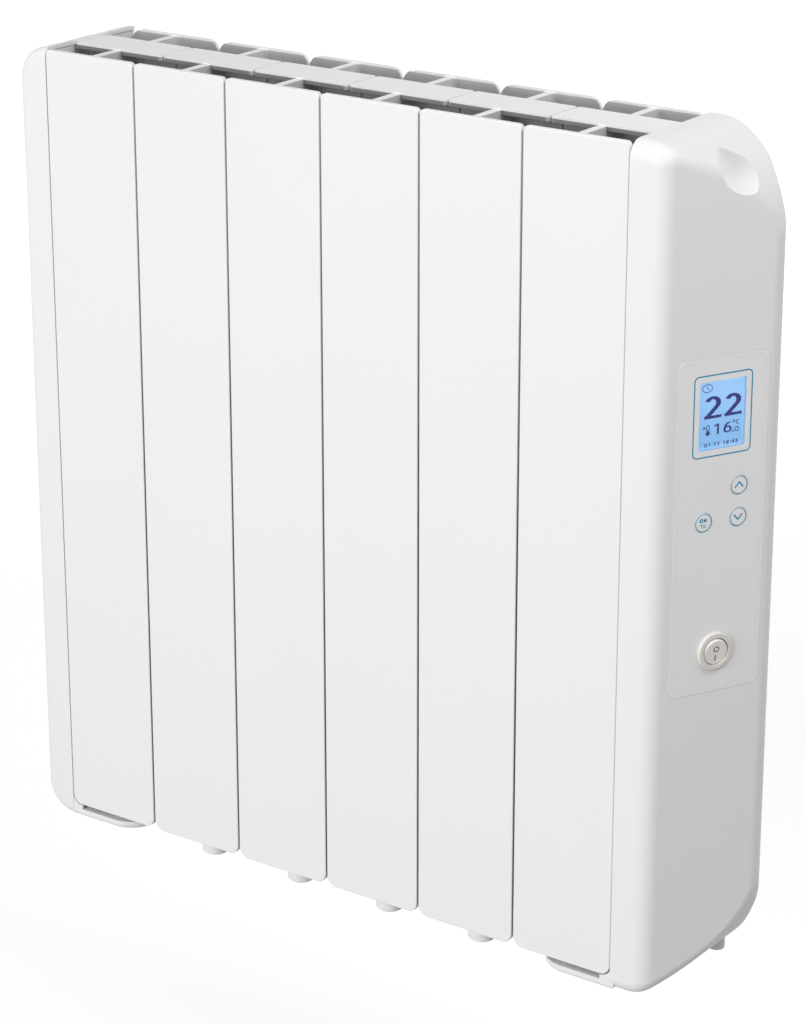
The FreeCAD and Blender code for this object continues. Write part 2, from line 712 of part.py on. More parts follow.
def right_plan(inset):
    """Plan of the wedge cap: flat front, sloping side, flat rear, with both upright edges rounded."""
    front = FRONT_Y + inset
    rear = REAR_Y - inset + RIGHT_REAR_OVERRUN
    shift = inset / math.cos(LEAN)
    start = STACK_HALF + RIGHT_FRONT - shift

    def side(y):
        return start + RIGHT_SLOPE * (y - FRONT_Y)

    x0 = STACK_HALF - CAP_LAP
    return [(x0, front, 0), (side(front), front, RIGHT_FRONT_EDGE - inset),
            (side(rear), rear, RIGHT_REAR_EDGE - inset), (x0, rear, 0)]


def right_silhouette(inset):
    """Front view of the wedge cap: level at top and foot, then a wide sweep down to the upright side."""
    x0 = STACK_HALF - CAP_LAP
    sweep_x = STACK_HALF + SWEEP_WIDTH - SWEEP_RADIUS
    turn = SWEEP_TURN
    blend_x = sweep_x + (SWEEP_RADIUS - SWEEP_BLEND) * math.cos(turn)
    big = SWEEP_RADIUS - inset
    small = SWEEP_BLEND - inset
    back = FRONT_Y - SECTION_DEPTH

    def arc(x, z, radius, first, last):
        angles = (first, (first + last) / 2, last)
        points = [V(x + radius * math.cos(a), back, z + radius * math.sin(a)) for a in angles]
        return Part.Arc(*points).toShape()

    def line(xa, za, xb, zb):
        return Part.makeLine(V(xa, back, za), V(xb, back, zb))

    quarter = math.pi / 2
    high = CAP_TOP - inset
    low = CAP_BOTTOM + inset
    upper = CAP_TOP - SWEEP_DROP
    lower = CAP_BOTTOM + SWEEP_DROP
    edge_x = sweep_x + big
    outline = Part.Wire([
        line(x0, high, blend_x, high),
        arc(blend_x, CAP_TOP - SWEEP_BLEND, small, quarter, turn),
        arc(sweep_x, upper, big, turn, 0),
        line(edge_x, upper, edge_x, lower),
        arc(sweep_x, lower, big, 0, -turn),
        arc(blend_x, CAP_BOTTOM + SWEEP_BLEND, small, -turn, -quarter),
        line(blend_x, low, x0, low),
        line(x0, low, x0, high),
    ])
    return Part.Face(outline).extrude(Y_AXIS * (REAR_Y - inset - back))


def right_profile(inset):
    """Side view of the wedge cap: its lower front edge is rounded less than the crown."""
    front = FRONT_Y + inset
    rear = REAR_Y + SECTION_DEPTH
    low = CAP_BOTTOM + inset
    high = CAP_TOP + SECTION_DEPTH
    outline = [(front, low, RIGHT_FOOT_EDGE - inset), (rear, low, 0), (rear, high, 0), (front, high, 0)]
    return side_sheet(outline, 0.0, 2 * STACK_HALF)


def right_form(inset):
    """The wedge cap's outer form, or the hollow inside it."""
    body = prism(right_plan(inset), CAP_BOTTOM - SECTION_DEPTH, CAP_TOP + SECTION_DEPTH)
    form = body.common(right_silhouette(inset)).common(right_profile(inset))
    middle = (CAP_TOP + CAP_BOTTOM) / 2
    crown = [e for e in sharp_edges(form) if e.BoundBox.ZMin > middle]
    form = form.makeFillet(RIGHT_CROWN_EDGE - inset, crown)
    foot = [e for e in sharp_edges(form) if e.BoundBox.ZMax < middle]
    side = [e for e in foot if e.BoundBox.YMax > 0 and e.BoundBox.YMin < REAR_Y - inset - 1]
    return form.makeFillet(RIGHT_FOOT_SIDE - inset, side)


def finger_scoop(grow):
    """Teardrop cutter for the shoulder of the wedge cap: a ball with its tangent cone up to a tip."""
    sweep_axis = V(STACK_HALF + SWEEP_WIDTH - SWEEP_RADIUS, FRONT_Y + SCOOP_FROM_FRONT, CAP_TOP - SWEEP_DROP)

    def outward(turn):
        return V(math.cos(math.radians(turn)), 0, math.sin(math.radians(turn)))

    ball = (SCOOP_RADIUS ** 2 + SCOOP_DEPTH ** 2) / (2 * SCOOP_DEPTH)
    centre = sweep_axis + outward(SCOOP_TURN) * (SWEEP_RADIUS + ball - SCOOP_DEPTH)
    tip = sweep_axis + outward(SCOOP_TIP_TURN) * SWEEP_RADIUS - Y_AXIS * SCOOP_TIP_SHIFT
    axis = tip - centre
    reach = axis.Length
    radius = ball + grow
    apex = reach * radius / ball
    touch = math.acos(radius / apex)
    touch_point = V(radius * math.sin(touch), 0, radius * math.cos(touch))
    half_turn = (touch + math.pi) / 2
    middle = V(radius * math.sin(half_turn), 0, radius * math.cos(half_turn))
    foot = V(0, 0, -radius)
    top = V(0, 0, apex)
    outline = Part.Wire([
        Part.makeLine(top, touch_point),
        Part.Arc(touch_point, middle, foot).toShape(),
        Part.makeLine(foot, top),
    ])
    drop = Part.Face(outline).revolve(V(0, 0, 0), Z_AXIS, 360)
    drop.Placement = FreeCAD.Placement(centre, FreeCAD.Rotation(Z_AXIS, axis))
    return drop


def tongue():
    """Flat lip of a cap that reaches under the end section and fits round its locating peg."""
    radius = TONGUE_RADIUS
    root = STACK_HALF - CAP_LAP + CAP_WALL
    bar = box(PEG_X, root, PEG_Y - radius, PEG_Y + radius, CAP_BOTTOM, CAP_BOTTOM + TONGUE_THICKNESS)
    end = Part.makeCylinder(radius, TONGUE_THICKNESS, V(PEG_X, PEG_Y, CAP_BOTTOM), Z_AXIS)
    hole = Part.makeCylinder(PEG_RADIUS + TONGUE_CLEARANCE, 3 * TONGUE_THICKNESS,
                             V(PEG_X, PEG_Y, CAP_BOTTOM - TONGUE_THICKNESS), Z_AXIS)
    lip = joined([bar, end])
    lower = [e for e in lip.Edges if e.BoundBox.ZMax < CAP_BOTTOM + 0.01]
    front = [e for e in lower if e.BoundBox.YMin < PEG_Y - radius + 0.01]
    lip = lip.makeFillet(TONGUE_EDGE, front)
    return joined([lip, gusset()]).cut(hole)


def gusset():
    """Corner between a cap's front wall and its lip, hollowed to follow the plate's lower corner."""
    x = STACK_HALF - PLATE_GAP / 2 - FRONT_BOTTOM_CORNER
    z = SECTION_BOTTOM + FRONT_BOTTOM_CORNER
    front = FRONT_Y + GUSSET_SINK
    rear = FRONT_Y + CAP_WALL
    low = CAP_BOTTOM + TONGUE_THICKNESS / 2
    block = box(x, STACK_HALF - CAP_LAP + CAP_WALL, front, rear, low, z)
    corner = Part.makeCylinder(FRONT_BOTTOM_CORNER + GUSSET_GAP, 3 * FRONT_PLATE, V(x, FRONT_Y - FRONT_PLATE, z), Y_AXIS)
    return block.cut(corner)


def left_end_cap():
    """Slim moulded cap, open towards the stack."""
    shell = left_form(0).cut(left_form(CAP_WALL))
    shell = joined([shell, tongue()]).cut(cap_screws(SCREW_CLEARANCE))
    return mirrored(shell)


def pillar_places():
    """Corners of the control board, where its pillars stand."""
    across = CONTROL_BOARD_WIDTH / 2 - PILLAR_INSET
    up = CONTROL_BOARD_HEIGHT / 2 - PILLAR_INSET
    return [(i * across, CONTROL_BOARD_UP + j * up) for i in (-1, 1) for j in (-1, 1)]


def panel_cuts():
    """Openings of the cap's sloping wall behind the panel."""
    past = CAP_WALL + 1
    clearance = 2 * OVERLAY_CLEARANCE
    cuts = [prism(rectangle(PANEL_WIDTH + clearance, PANEL_HEIGHT + clearance, PANEL_CORNER), -OVERLAY_SINK, past)]
    lens = 2 * (LENS_MARGIN + LENS_CLEARANCE)
    pocket = rectangle(DISPLAY_WIDTH + lens, DISPLAY_HEIGHT + lens, 2.0, 0, DISPLAY_UP)
    cuts.append(prism(pocket, -OVERLAY_SINK - LENS_THICKNESS, past))
    ledge = 2 * LEDGE_MARGIN
    opening = rectangle(DISPLAY_WIDTH + ledge, DISPLAY_HEIGHT + ledge, 2.0, 0, DISPLAY_UP)
    cuts.append(prism(opening, -past, past))
    for across, up in KEY_PLACES.values():
        cuts.append(panel_disc(KEY_RADIUS + KEY_GAP, -KEY_POCKET, past, across, up))
        cuts.append(panel_disc(KEY_STEM_RADIUS + KEY_STEM_GAP, -past, past, across, up))
    cuts.append(panel_disc(BARREL_RADIUS + BARREL_CLEARANCE, -past, past, 0, -SWITCH_DOWN))
    for across, up in pillar_places():
        cuts.append(panel_disc(BOARD_SCREW_SHANK + THREAD_CLEARANCE, CONTROL_BOARD_FACE - 1,
                               CONTROL_BOARD_FACE + BOARD_SCREW_GRIP + 0.5, across, up))
    return on_panel(Part.makeCompound(cuts))


def gland_place():
    """The x and y of the cable gland."""
    return STACK_HALF + GLAND_X, REAR_Y - GLAND_FROM_REAR


def gland_levels():
    """Bottom of the gland, its shoulder's seat, and the top of the boss round it."""
    low = SECTION_BOTTOM - GLAND_BELOW
    return low, low + GLAND_SHOULDER, low + GLAND_SHOULDER + GLAND_BOSS_HEIGHT


def sensor_place():
    """The x and y of the room sensor."""
    return STACK_HALF + SENSOR_X, 0.0


def right_end_cap():
    """Wedge-shaped moulded cap with the panel's openings, board pillars and the bosses at its foot."""
    solid = right_form(0)
    hollow = right_form(CAP_WALL).cut(finger_scoop(CAP_WALL))
    gland_x, gland_y = gland_place()
    gland_low, gland_seat, gland_top = gland_levels()
    sensor_x, sensor_y = sensor_place()
    sensor_top = CAP_INNER_BOTTOM + SENSOR_BOSS_HEIGHT
    gland_boss = Part.makeCylinder(GLAND_OUTER + GLAND_BOSS_WALL, gland_top - CAP_BOTTOM,
                                   V(gland_x, gland_y, CAP_BOTTOM), Z_AXIS)
    sensor_boss = Part.makeCylinder(SENSOR_RADIUS + SENSOR_BOSS_WALL, sensor_top - CAP_BOTTOM,
                                    V(sensor_x, sensor_y, CAP_BOTTOM), Z_AXIS)
    pillars = [panel_disc(PILLAR_RADIUS, CONTROL_BOARD_FACE, -CAP_WALL / 2, a, u) for a, u in pillar_places()]
    inside = [gland_boss, sensor_boss] + [on_panel(p) for p in pillars]
    for piece in inside:
        hollow = hollow.cut(piece)
    shell = solid.cut(finger_scoop(0)).cut(hollow)
    holes = [
        Part.makeCylinder(GLAND_OUTER + GLAND_CLEARANCE, gland_seat - gland_low + 5,
                          V(gland_x, gland_y, gland_low - 5), Z_AXIS),
        Part.makeCylinder(GLAND_THREAD + GLAND_CLEARANCE, gland_top - gland_low + 10,
                          V(gland_x, gland_y, gland_low - 5), Z_AXIS),
        Part.makeCylinder(SENSOR_RADIUS + SENSOR_CLEARANCE, SENSOR_BOSS_HEIGHT + 20,
                          V(sensor_x, sensor_y, CAP_BOTTOM - 5), Z_AXIS),
        cap_screws(SCREW_CLEARANCE),
        panel_cuts(),
    ]
    shell = joined([shell, tongue()])
    for hole in holes:
        shell = shell.cut(hole)
    return shell


# Control panel


def control_overlay():
    """Printed film over the panel, open at the display, the keys and the switch."""
    high = OVERLAY_THICKNESS - OVERLAY_SINK
    film = prism(rectangle(PANEL_WIDTH, PANEL_HEIGHT, PANEL_CORNER), -OVERLAY_SINK, high)
    cuts = [prism(rectangle(DISPLAY_WIDTH, DISPLAY_HEIGHT, 1.5, 0, DISPLAY_UP), -1, 1)]
    for across, up in KEY_PLACES.values():
        cuts.append(panel_disc(KEY_RADIUS + KEY_GAP, -1, 1, across, up))
    cuts.append(panel_disc(BARREL_RADIUS + BARREL_CLEARANCE, -1, 1, 0, -SWITCH_DOWN))
    return on_panel(film.cut(Part.makeCompound(cuts)))


def display_window():
    """Clear lens in its pocket under the film, with a step that fills the film's opening."""
    width = DISPLAY_WIDTH + 2 * LENS_MARGIN
    height = DISPLAY_HEIGHT + 2 * LENS_MARGIN
    top = -OVERLAY_SINK
    rim = prism(rectangle(width, height, 2.0, 0, DISPLAY_UP), top - LENS_THICKNESS, top)
    face = rectangle(DISPLAY_WIDTH - 2 * LENS_CLEARANCE, DISPLAY_HEIGHT - 2 * LENS_CLEARANCE, 1.3, 0, DISPLAY_UP)
    step = prism(face, top - LENS_THICKNESS / 2, top + OVERLAY_THICKNESS - LENS_SINK)
    return on_panel(joined([rim, step]))


def display_block(low, high):
    """A block of the display's size between two depths behind the panel."""
    width = DISPLAY_WIDTH + 2 * GLASS_MARGIN
    height = DISPLAY_HEIGHT + 2 * GLASS_MARGIN
    return on_panel(prism(rectangle(width, height, 1.0, 0, DISPLAY_UP), low, high))


def glass_levels():
    """Back and front of the display glass, just behind the cap's wall."""
    front = -CAP_WALL - THREAD_CLEARANCE
    return front - GLASS_THICKNESS, front


def lcd_glass():
    """Liquid-crystal glass, with a step through the cap's opening up to the lens."""
    back, front = glass_levels()
    inset = 2 * (LEDGE_MARGIN - GLASS_STEP_CLEARANCE)
    face = rectangle(DISPLAY_WIDTH + inset, DISPLAY_HEIGHT + inset, 1.8, 0, DISPLAY_UP)
    lens_back = -OVERLAY_SINK - LENS_THICKNESS
    step = on_panel(prism(face, (back + front) / 2, lens_back - THREAD_CLEARANCE))
    return joined([display_block(back, front), step])


def lcd_backlight():
    """Lamp block between the glass and the control board."""
    return display_block(CONTROL_BOARD_FACE, glass_levels()[0])


def control_board():
    """Circuit board on the pillars behind the panel."""
    board = prism(rectangle(CONTROL_BOARD_WIDTH, CONTROL_BOARD_HEIGHT, 2.0, 0, CONTROL_BOARD_UP),
                  CONTROL_BOARD_FACE - BOARD_THICKNESS, CONTROL_BOARD_FACE)
    for across, up in pillar_places():
        board = board.cut(panel_disc(BOARD_SCREW_SHANK + BOARD_SCREW_CLEARANCE, CONTROL_BOARD_FACE - 5,
                                     CONTROL_BOARD_FACE + 5, across, up))
    return on_panel(board)


def control_board_screws():
    """Screws that hold the control board to its pillars."""
    back = CONTROL_BOARD_FACE - BOARD_THICKNESS
    screws = []
    for across, up in pillar_places():
        head = panel_disc(BOARD_SCREW_HEAD, back - BOARD_SCREW_HEAD_HEIGHT, back, across, up)
        shank = panel_disc(BOARD_SCREW_SHANK, back, CONTROL_BOARD_FACE + BOARD_SCREW_GRIP, across, up)
        screws.append(on_panel(joined([head, shank])))
    return Part.makeCompound(screws)


def key(across, up):
    """Round key with a stem through the wall; its face stands a little proud of the film."""
    face = panel_disc(KEY_RADIUS, -KEY_SEAT, KEY_RISE, across, up)
    rim = [e for e in face.Edges if e.BoundBox.ZMin > KEY_RISE - 0.01]
    face = face.makeFillet(KEY_ROUNDING, rim)
    stem = panel_disc(KEY_STEM_RADIUS, TACT_TOP + KEY_TRAVEL_GAP, -KEY_SEAT, across, up)
    return on_panel(joined([face, stem]))


def key_switches():
    """Push switches on the control board, one under each key."""
    switches = []
    for across, up in KEY_PLACES.values():
        case = prism(rectangle(TACT_WIDTH, TACT_WIDTH, 0.5, across, up), CONTROL_BOARD_FACE,
                     CONTROL_BOARD_FACE + TACT_HEIGHT)
        button = panel_disc(TACT_BUTTON_RADIUS, CONTROL_BOARD_FACE + TACT_HEIGHT, TACT_TOP, across, up)
        switches.append(on_panel(joined([case, button])))
    return Part.makeCompound(switches)


# Rocker switch


def on_switch(shape):
    """Place a shape drawn about the switch's axis: z out of the panel, x along the rocker's pivot."""
    moved = shape.copy()
    moved.translate(V(0, -SWITCH_DOWN, 0))
    return on_panel(moved)


def switch_housing():
    """Round barrel with a bezel outside, snap lugs inside, and a well for the rocker."""
    seat = OVERLAY_THICKNESS - OVERLAY_SINK
    bezel = Part.makeCylinder(BEZEL_RADIUS, BEZEL_HEIGHT, V(0, 0, seat), Z_AXIS)
    rim = [e for e in bezel.Edges if e.BoundBox.ZMin > seat + BEZEL_HEIGHT - 0.01]
    bezel = bezel.makeFillet(BEZEL_ROUNDING, rim)
    barrel = Part.makeCylinder(BARREL_RADIUS, BARREL_DEPTH + seat, V(0, 0, -BARREL_DEPTH), Z_AXIS)
    lug_top = -CAP_WALL - THREAD_CLEARANCE
    reach = BARREL_RADIUS + SNAP_REACH
    lugs = box(-reach, reach, -SNAP_WIDTH / 2, SNAP_WIDTH / 2, lug_top - SNAP_HEIGHT, lug_top)
    well = Part.makeCylinder(ROCKER_RADIUS + ROCKER_CLEARANCE, ROCKER_WELL + BEZEL_HEIGHT + 1,
                             V(0, 0, -ROCKER_WELL), Z_AXIS)
    span = ROCKER_RADIUS + TRUNNION_REACH + ROCKER_CLEARANCE
    pivot = Part.makeCylinder(TRUNNION_RADIUS + ROCKER_CLEARANCE, 2 * span, V(-span, 0, ROCKER_CENTRE), X_AXIS)
    return on_switch(joined([bezel, barrel, lugs]).cut(joined([well, pivot])))


def switch_rocker():
    """Rocker cut from a ball, so that it clears its well at any tilt; it rests with its lower half in."""
    ball = Part.makeSphere(ROCKER_RADIUS)
    slab = box(-2 * ROCKER_RADIUS, 2 * ROCKER_RADIUS, -2 * ROCKER_RADIUS, 2 * ROCKER_RADIUS,
               -ROCKER_ROOT, ROCKER_FACE)
    body = ball.common(slab)
    span = ROCKER_RADIUS + TRUNNION_REACH
    pivot = Part.makeCylinder(TRUNNION_RADIUS, 2 * span, V(-span, 0, 0), X_AXIS)
    rocker = joined([body, pivot])
    rocker.rotate(V(0, 0, 0), X_AXIS, ROCKER_TILT)
    rocker.translate(V(0, 0, ROCKER_CENTRE))
    return on_switch(rocker)


def blade_places():
    """Centres of the four blades on the switch's back."""
    half = BLADE_SPREAD / 2
    return [(i * half, j * half) for i in (-1, 1) for j in (-1, 1)]


def switch_terminals():
    """Four push-on blades behind the switch."""
    blades = []
    for across, up in blade_places():
        blade = box(across - BLADE_THICKNESS / 2, across + BLADE_THICKNESS / 2, up - BLADE_WIDTH / 2,
                    up + BLADE_WIDTH / 2, -BARREL_DEPTH - BLADE_LENGTH, -BARREL_DEPTH)
        blades.append(on_switch(blade))
    return Part.makeCompound(blades)


# Power board and its parts


def standoff_places():
    """The y and z of the power board's standoffs."""
    across = POWER_BOARD_WIDTH / 2 - STANDOFF_INSET
    low = BOARD_LOW + STANDOFF_INSET
    high = BOARD_LOW + POWER_BOARD_HEIGHT - STANDOFF_INSET
    return [(i * across, z) for i in (-1, 1) for z in (low, high)]


def power_board():
    """Circuit board on standoffs from the right end plate."""
    half = POWER_BOARD_WIDTH / 2
    high = BOARD_LOW + POWER_BOARD_HEIGHT
    corners = [(-half, BOARD_LOW, 2.0), (half, BOARD_LOW, 2.0), (half, high, 2.0), (-half, high, 2.0)]
    board = side_sheet(corners, BOARD_X, BOARD_FACE)
    for y, z in standoff_places():
        board = board.cut(Part.makeCylinder(BOARD_SCREW_SHANK + BOARD_SCREW_CLEARANCE, 10,
                                            V(BOARD_X - 5, y, z), X_AXIS))
    return board


def board_standoffs():
    """Round pillars between the end plate and the power board."""
    pillars = []
    for y, z in standoff_places():
        pillars.append(tube(STANDOFF_RADIUS, BOARD_SCREW_SHANK + THREAD_CLEARANCE, STANDOFF_HEIGHT,
                            V(PLATE_OUTER, y, z), X_AXIS))
    return Part.makeCompound(pillars)


def board_screws():
    """Screws of the power board."""
    screws = []
    for y, z in standoff_places():
        head = Part.makeCylinder(BOARD_SCREW_HEAD, BOARD_SCREW_HEAD_HEIGHT, V(BOARD_FACE, y, z), X_AXIS)
        shank = Part.makeCylinder(BOARD_SCREW_SHANK, BOARD_SCREW_GRIP + BOARD_THICKNESS,
                                  V(BOARD_FACE - BOARD_SCREW_GRIP - BOARD_THICKNESS, y, z), X_AXIS)
        screws.append(joined([head, shank]))
    return Part.makeCompound(screws)


def board_part(size, y, z):
    """A block on the power board, its size across, up and out, with softened outer edges."""
    width, height, depth = size
    block = box(BOARD_FACE, BOARD_FACE + depth, y - width / 2, y + width / 2, z - height / 2, z + height / 2)
    outer = [e for e in block.Edges if e.BoundBox.XMin > BOARD_FACE + depth - 0.01]
    return block.makeChamfer(0.8, outer)


def relay_place():
    """The y and z of the relay."""
    return -POWER_BOARD_WIDTH / 4, BOARD_LOW + POWER_BOARD_HEIGHT * 0.68


def transformer_place():
    """The y and z of the transformer."""
    return POWER_BOARD_WIDTH / 5, BOARD_LOW + POWER_BOARD_HEIGHT * 0.62


def terminal_place(index):
    """The y and z of one pole of the terminal block."""
    pitch = TERMINAL_BLOCK[0] / TERMINAL_COUNT
    return (index - (TERMINAL_COUNT - 1) / 2) * pitch, BOARD_LOW + TERMINAL_BLOCK[1] / 2 + 2


def terminal_block():
    """Row of wire clamps at the foot of the power board."""
    middle_y, middle_z = terminal_place((TERMINAL_COUNT - 1) / 2)
    block = board_part(TERMINAL_BLOCK, middle_y, middle_z)
    for index in range(TERMINAL_COUNT):
        y, z = terminal_place(index)
        block = block.cut(Part.makeCylinder(2.0, 5, V(BOARD_FACE + TERMINAL_BLOCK[2] - 4, y, z), X_AXIS))
        block = block.cut(Part.makeCylinder(WIRE_RADIUS + WIRE_GAP, 6,
                                            V(BOARD_FACE + 4, y, z - TERMINAL_BLOCK[1] / 2 - 1), Z_AXIS))
    return block


def thermal_cutout():
    """Round safety thermostat with two ears, on the right end plate above the heater."""
    middle = CAP_INNER_REAR - CUTOUT_FROM_REAR - CUTOUT_EAR
    z = BOTTOM_HUB_Z + CUTOUT_UP
    outline = rectangle(2 * CUTOUT_EAR, CUTOUT_RADIUS, 3.0, middle, z)
    ears = side_sheet(outline, PLATE_OUTER, PLATE_OUTER + CUTOUT_EAR_THICKNESS)
    can = Part.makeCylinder(CUTOUT_RADIUS, CUTOUT_HEIGHT, V(PLATE_OUTER, middle, z), X_AXIS)
    blades = []
    for side in (-1, 1):
        y = middle + side * CUTOUT_RADIUS / 2
        blades.append(box(PLATE_OUTER + CUTOUT_HEIGHT - 1, PLATE_OUTER + CUTOUT_HEIGHT + BLADE_LENGTH,
                          y - BLADE_THICKNESS / 2, y + BLADE_THICKNESS / 2, z - BLADE_WIDTH / 2, z + BLADE_WIDTH / 2))
    return joined([ears, can] + blades)


# Cable gland, gland nut and room sensor


def cable_gland():
    """Bush for the supply cable, with a shoulder that seats in the cap's foot."""
    x, y = gland_place()
    low, seat, top = gland_levels()
    body = Part.makeCylinder(GLAND_OUTER, seat - low, V(x, y, low), Z_AXIS)
    rim = [e for e in body.Edges if e.BoundBox.ZMax < low + 0.01]
    body = body.makeFillet(1.0, rim)
    thread_end = top + GLAND_NUT_HEIGHT + GLAND_TAIL
    thread = Part.makeCylinder(GLAND_THREAD, thread_end - seat, V(x, y, seat), Z_AXIS)
    bore = Part.makeCylinder(GLAND_BORE, thread_end - low + 2, V(x, y, low - 1), Z_AXIS)
    return joined([body, thread]).cut(bore)


def gland_nut():
    """Hexagon nut on the gland, inside the cap."""
    x, y = gland_place()
    top = gland_levels()[2]
    nut = hexagon(GLAND_NUT_FLATS, 0, GLAND_NUT_HEIGHT)
    nut = nut.cut(Part.makeCylinder(GLAND_THREAD + THREAD_CLEARANCE, GLAND_NUT_HEIGHT))
    nut.translate(V(x, y, top))
    return nut


def room_sensor():
    """Air-temperature probe that looks out of the cap's foot."""
    x, y = sensor_place()
    seat = CAP_INNER_BOTTOM + SENSOR_BOSS_HEIGHT
    probe = Part.makeCylinder(SENSOR_RADIUS, SENSOR_LENGTH, V(x, y, CAP_BOTTOM), Z_AXIS)
    collar = Part.makeCylinder(SENSOR_RADIUS + SENSOR_COLLAR, 2.0, V(x, y, seat), Z_AXIS)
    return joined([probe, collar])


# Wiring


def route(points, radius):
    """Open path through points, straight between them and rounded at each corner."""
    edges = []
    start = points[0]
    for before, point, after in zip(points, points[1:], points[2:]):
        first, middle, last = corner_arc(before, point, after, radius)
        edges.append(Part.makeLine(start, first))
        edges.append(Part.Arc(first, middle, last).toShape())
        start = last
    edges.append(Part.makeLine(start, points[-1]))
    return Part.Wire(edges)


def round_wire(points):
    """Round wire along a route."""
    ring = Part.Wire(Part.makeCircle(WIRE_RADIUS, points[0], points[1] - points[0]))
    return route(points, WIRE_BEND).makePipe(Part.Face(ring))


def heater_leads():
    """Two wires from the terminal block down onto the heater's studs."""
    wires = []
    stud_x = HEX_TOP + ROD_STANDOUT + STUD_BUSH + STUD_LENGTH / 2
    stud_top = BOTTOM_HUB_Z + STUD_RADIUS + WIRE_GAP
    for index, side in ((1, -1), (3, 1)):
        y, z = terminal_place(index)
        start = V(BOARD_FACE + 4, y, z - TERMINAL_BLOCK[1] / 2 + 3)
        end = V(stud_x, side * ROD_SPREAD / 2, stud_top)
        below = V(start.x, start.y, start.z - 15)
        above = V(end.x, end.y, end.z + 20)
        wires.append(round_wire([start, below, above, end]))
    return Part.makeCompound(wires)


def socket_top():
    """The z at which the wires enter the sockets of the power board."""
    return BOARD_LOW + POWER_BOARD_HEIGHT - STANDOFF_INSET - BOARD_SCREW_HEAD - SOCKET_GAP


def ribbon_foot():
    """Point where the ribbon meets its socket."""
    spot = panel_point(RIBBON_ACROSS, 0, 0)
    depth = (spot.x - BOARD_FACE - SOCKET_RIBBON[2] / 2) / math.cos(LEAN)
    point = panel_point(RIBBON_ACROSS, 0, -depth)
    return V(point.x, point.y, socket_top() + WIRE_GAP)


def switch_socket_y():
    """The y of the switch leads' socket, beside the ribbon's."""
    return ribbon_foot().y + (SOCKET_RIBBON[0] + SOCKET_SWITCH[0]) / 2 + 2


def board_sockets():
    """Wire sockets at the head of the power board, for the ribbon and for the switch leads."""
    blocks = []
    for size, y in ((SOCKET_RIBBON, ribbon_foot().y), (SOCKET_SWITCH, switch_socket_y())):
        blocks.append(board_part(size, y, socket_top() - size[1] / 2))
    return Part.makeCompound(blocks)


def ribbon_cable():
    """Flat cable from the back of the control board to the power board."""
    low = CONTROL_BOARD_LOW + RIBBON_FOLD
    back = CONTROL_BOARD_FACE - BOARD_THICKNESS - WIRE_GAP
    start = panel_point(RIBBON_ACROSS, low, back)
    foot = ribbon_foot()
    elbow = V(foot.x, foot.y, start.z)
    across = V(math.sin(LEAN), math.cos(LEAN), 0) * (RIBBON_WIDTH / 2)
    up = Z_AXIS * (RIBBON_THICKNESS / 2)
    points = [start - across - up, start + across - up, start + across + up, start - across + up]
    band = Part.makePolygon(points + points[:1])
    return route([start, elbow, foot], RIBBON_BEND).makePipe(Part.Face(band))


def switch_leads():
    """Two wires from the switch's lower blades to their socket."""
    wires = []
    half = BLADE_SPREAD / 2
    for side in (-1, 1):
        out = -BARREL_DEPTH - BLADE_LENGTH - WIRE_GAP
        start = panel_point(side * half, -SWITCH_DOWN - half, out)
        inward = panel_point(side * half, -SWITCH_DOWN - half, out - 5)
        end = V(ribbon_foot().x, switch_socket_y() + side * SOCKET_LEAD_SPREAD / 2, socket_top() + WIRE_GAP)
        above = V(end.x, end.y, end.z + 8)
        wires.append(round_wire([start, inward, above, end]))
    return Part.makeCompound(wires)


def build():
    """Make every node."""
    casting = section_casting()
    for index, x in enumerate(section_centres()):
        section = casting.copy()
        section.translate(V(x, 0, 0))
        write("section_" + str(index + 1), section)
    write("section_gaskets", section_gaskets())
    write("section_nipples", section_nipples())
    write("core_plugs", core_plugs())
    write("blank_plugs", blank_plugs())
    write("plug_gaskets", plug_gaskets())
    write("heating_element", heater_rods(ROD_RADIUS, HEX_TOP + ROD_STANDOUT))
    write("heater_head", heater_head())
    write("heater_terminals", heater_terminals())
    write("right_end_plate", end_plate())
    write("left_end_plate", mirrored(end_plate()))
    write("right_cap_screws", cap_screws())
    write("left_cap_screws", mirrored(cap_screws()))
    write("left_end_cap", left_end_cap())
    write("right_end_cap", right_end_cap())
    write("control_overlay", control_overlay())
    write("display_window", display_window())
    write("lcd_glass", lcd_glass())
    write("lcd_backlight", lcd_backlight())
    write("control_board", control_board())
    write("control_board_screws", control_board_screws())
    for name, (across, up) in KEY_PLACES.items():
        write(name, key(across, up))
    write("key_switches", key_switches())
    write("switch_housing", switch_housing())
    write("switch_rocker", switch_rocker())
    write("switch_terminals", switch_terminals())
    write("power_board", power_board())
    write("board_standoffs", board_standoffs())
    write("board_screws", board_screws())
    write("board_relay", board_part(RELAY, *relay_place()))
    write("board_transformer", board_part(TRANSFORMER, *transformer_place()))
    write("terminal_block", terminal_block())
    write("thermal_cutout", thermal_cutout())
    write("cable_gland", cable_gland())
    write("gland_nut", gland_nut())
    write("room_sensor", room_sensor())
    write("heater_leads", heater_leads())
    write("board_sockets", board_sockets())
    write("ribbon_cable", ribbon_cable())
    write("switch_leads", switch_leads())


os.makedirs("parts", exist_ok=True)
build()
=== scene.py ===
import json
import math

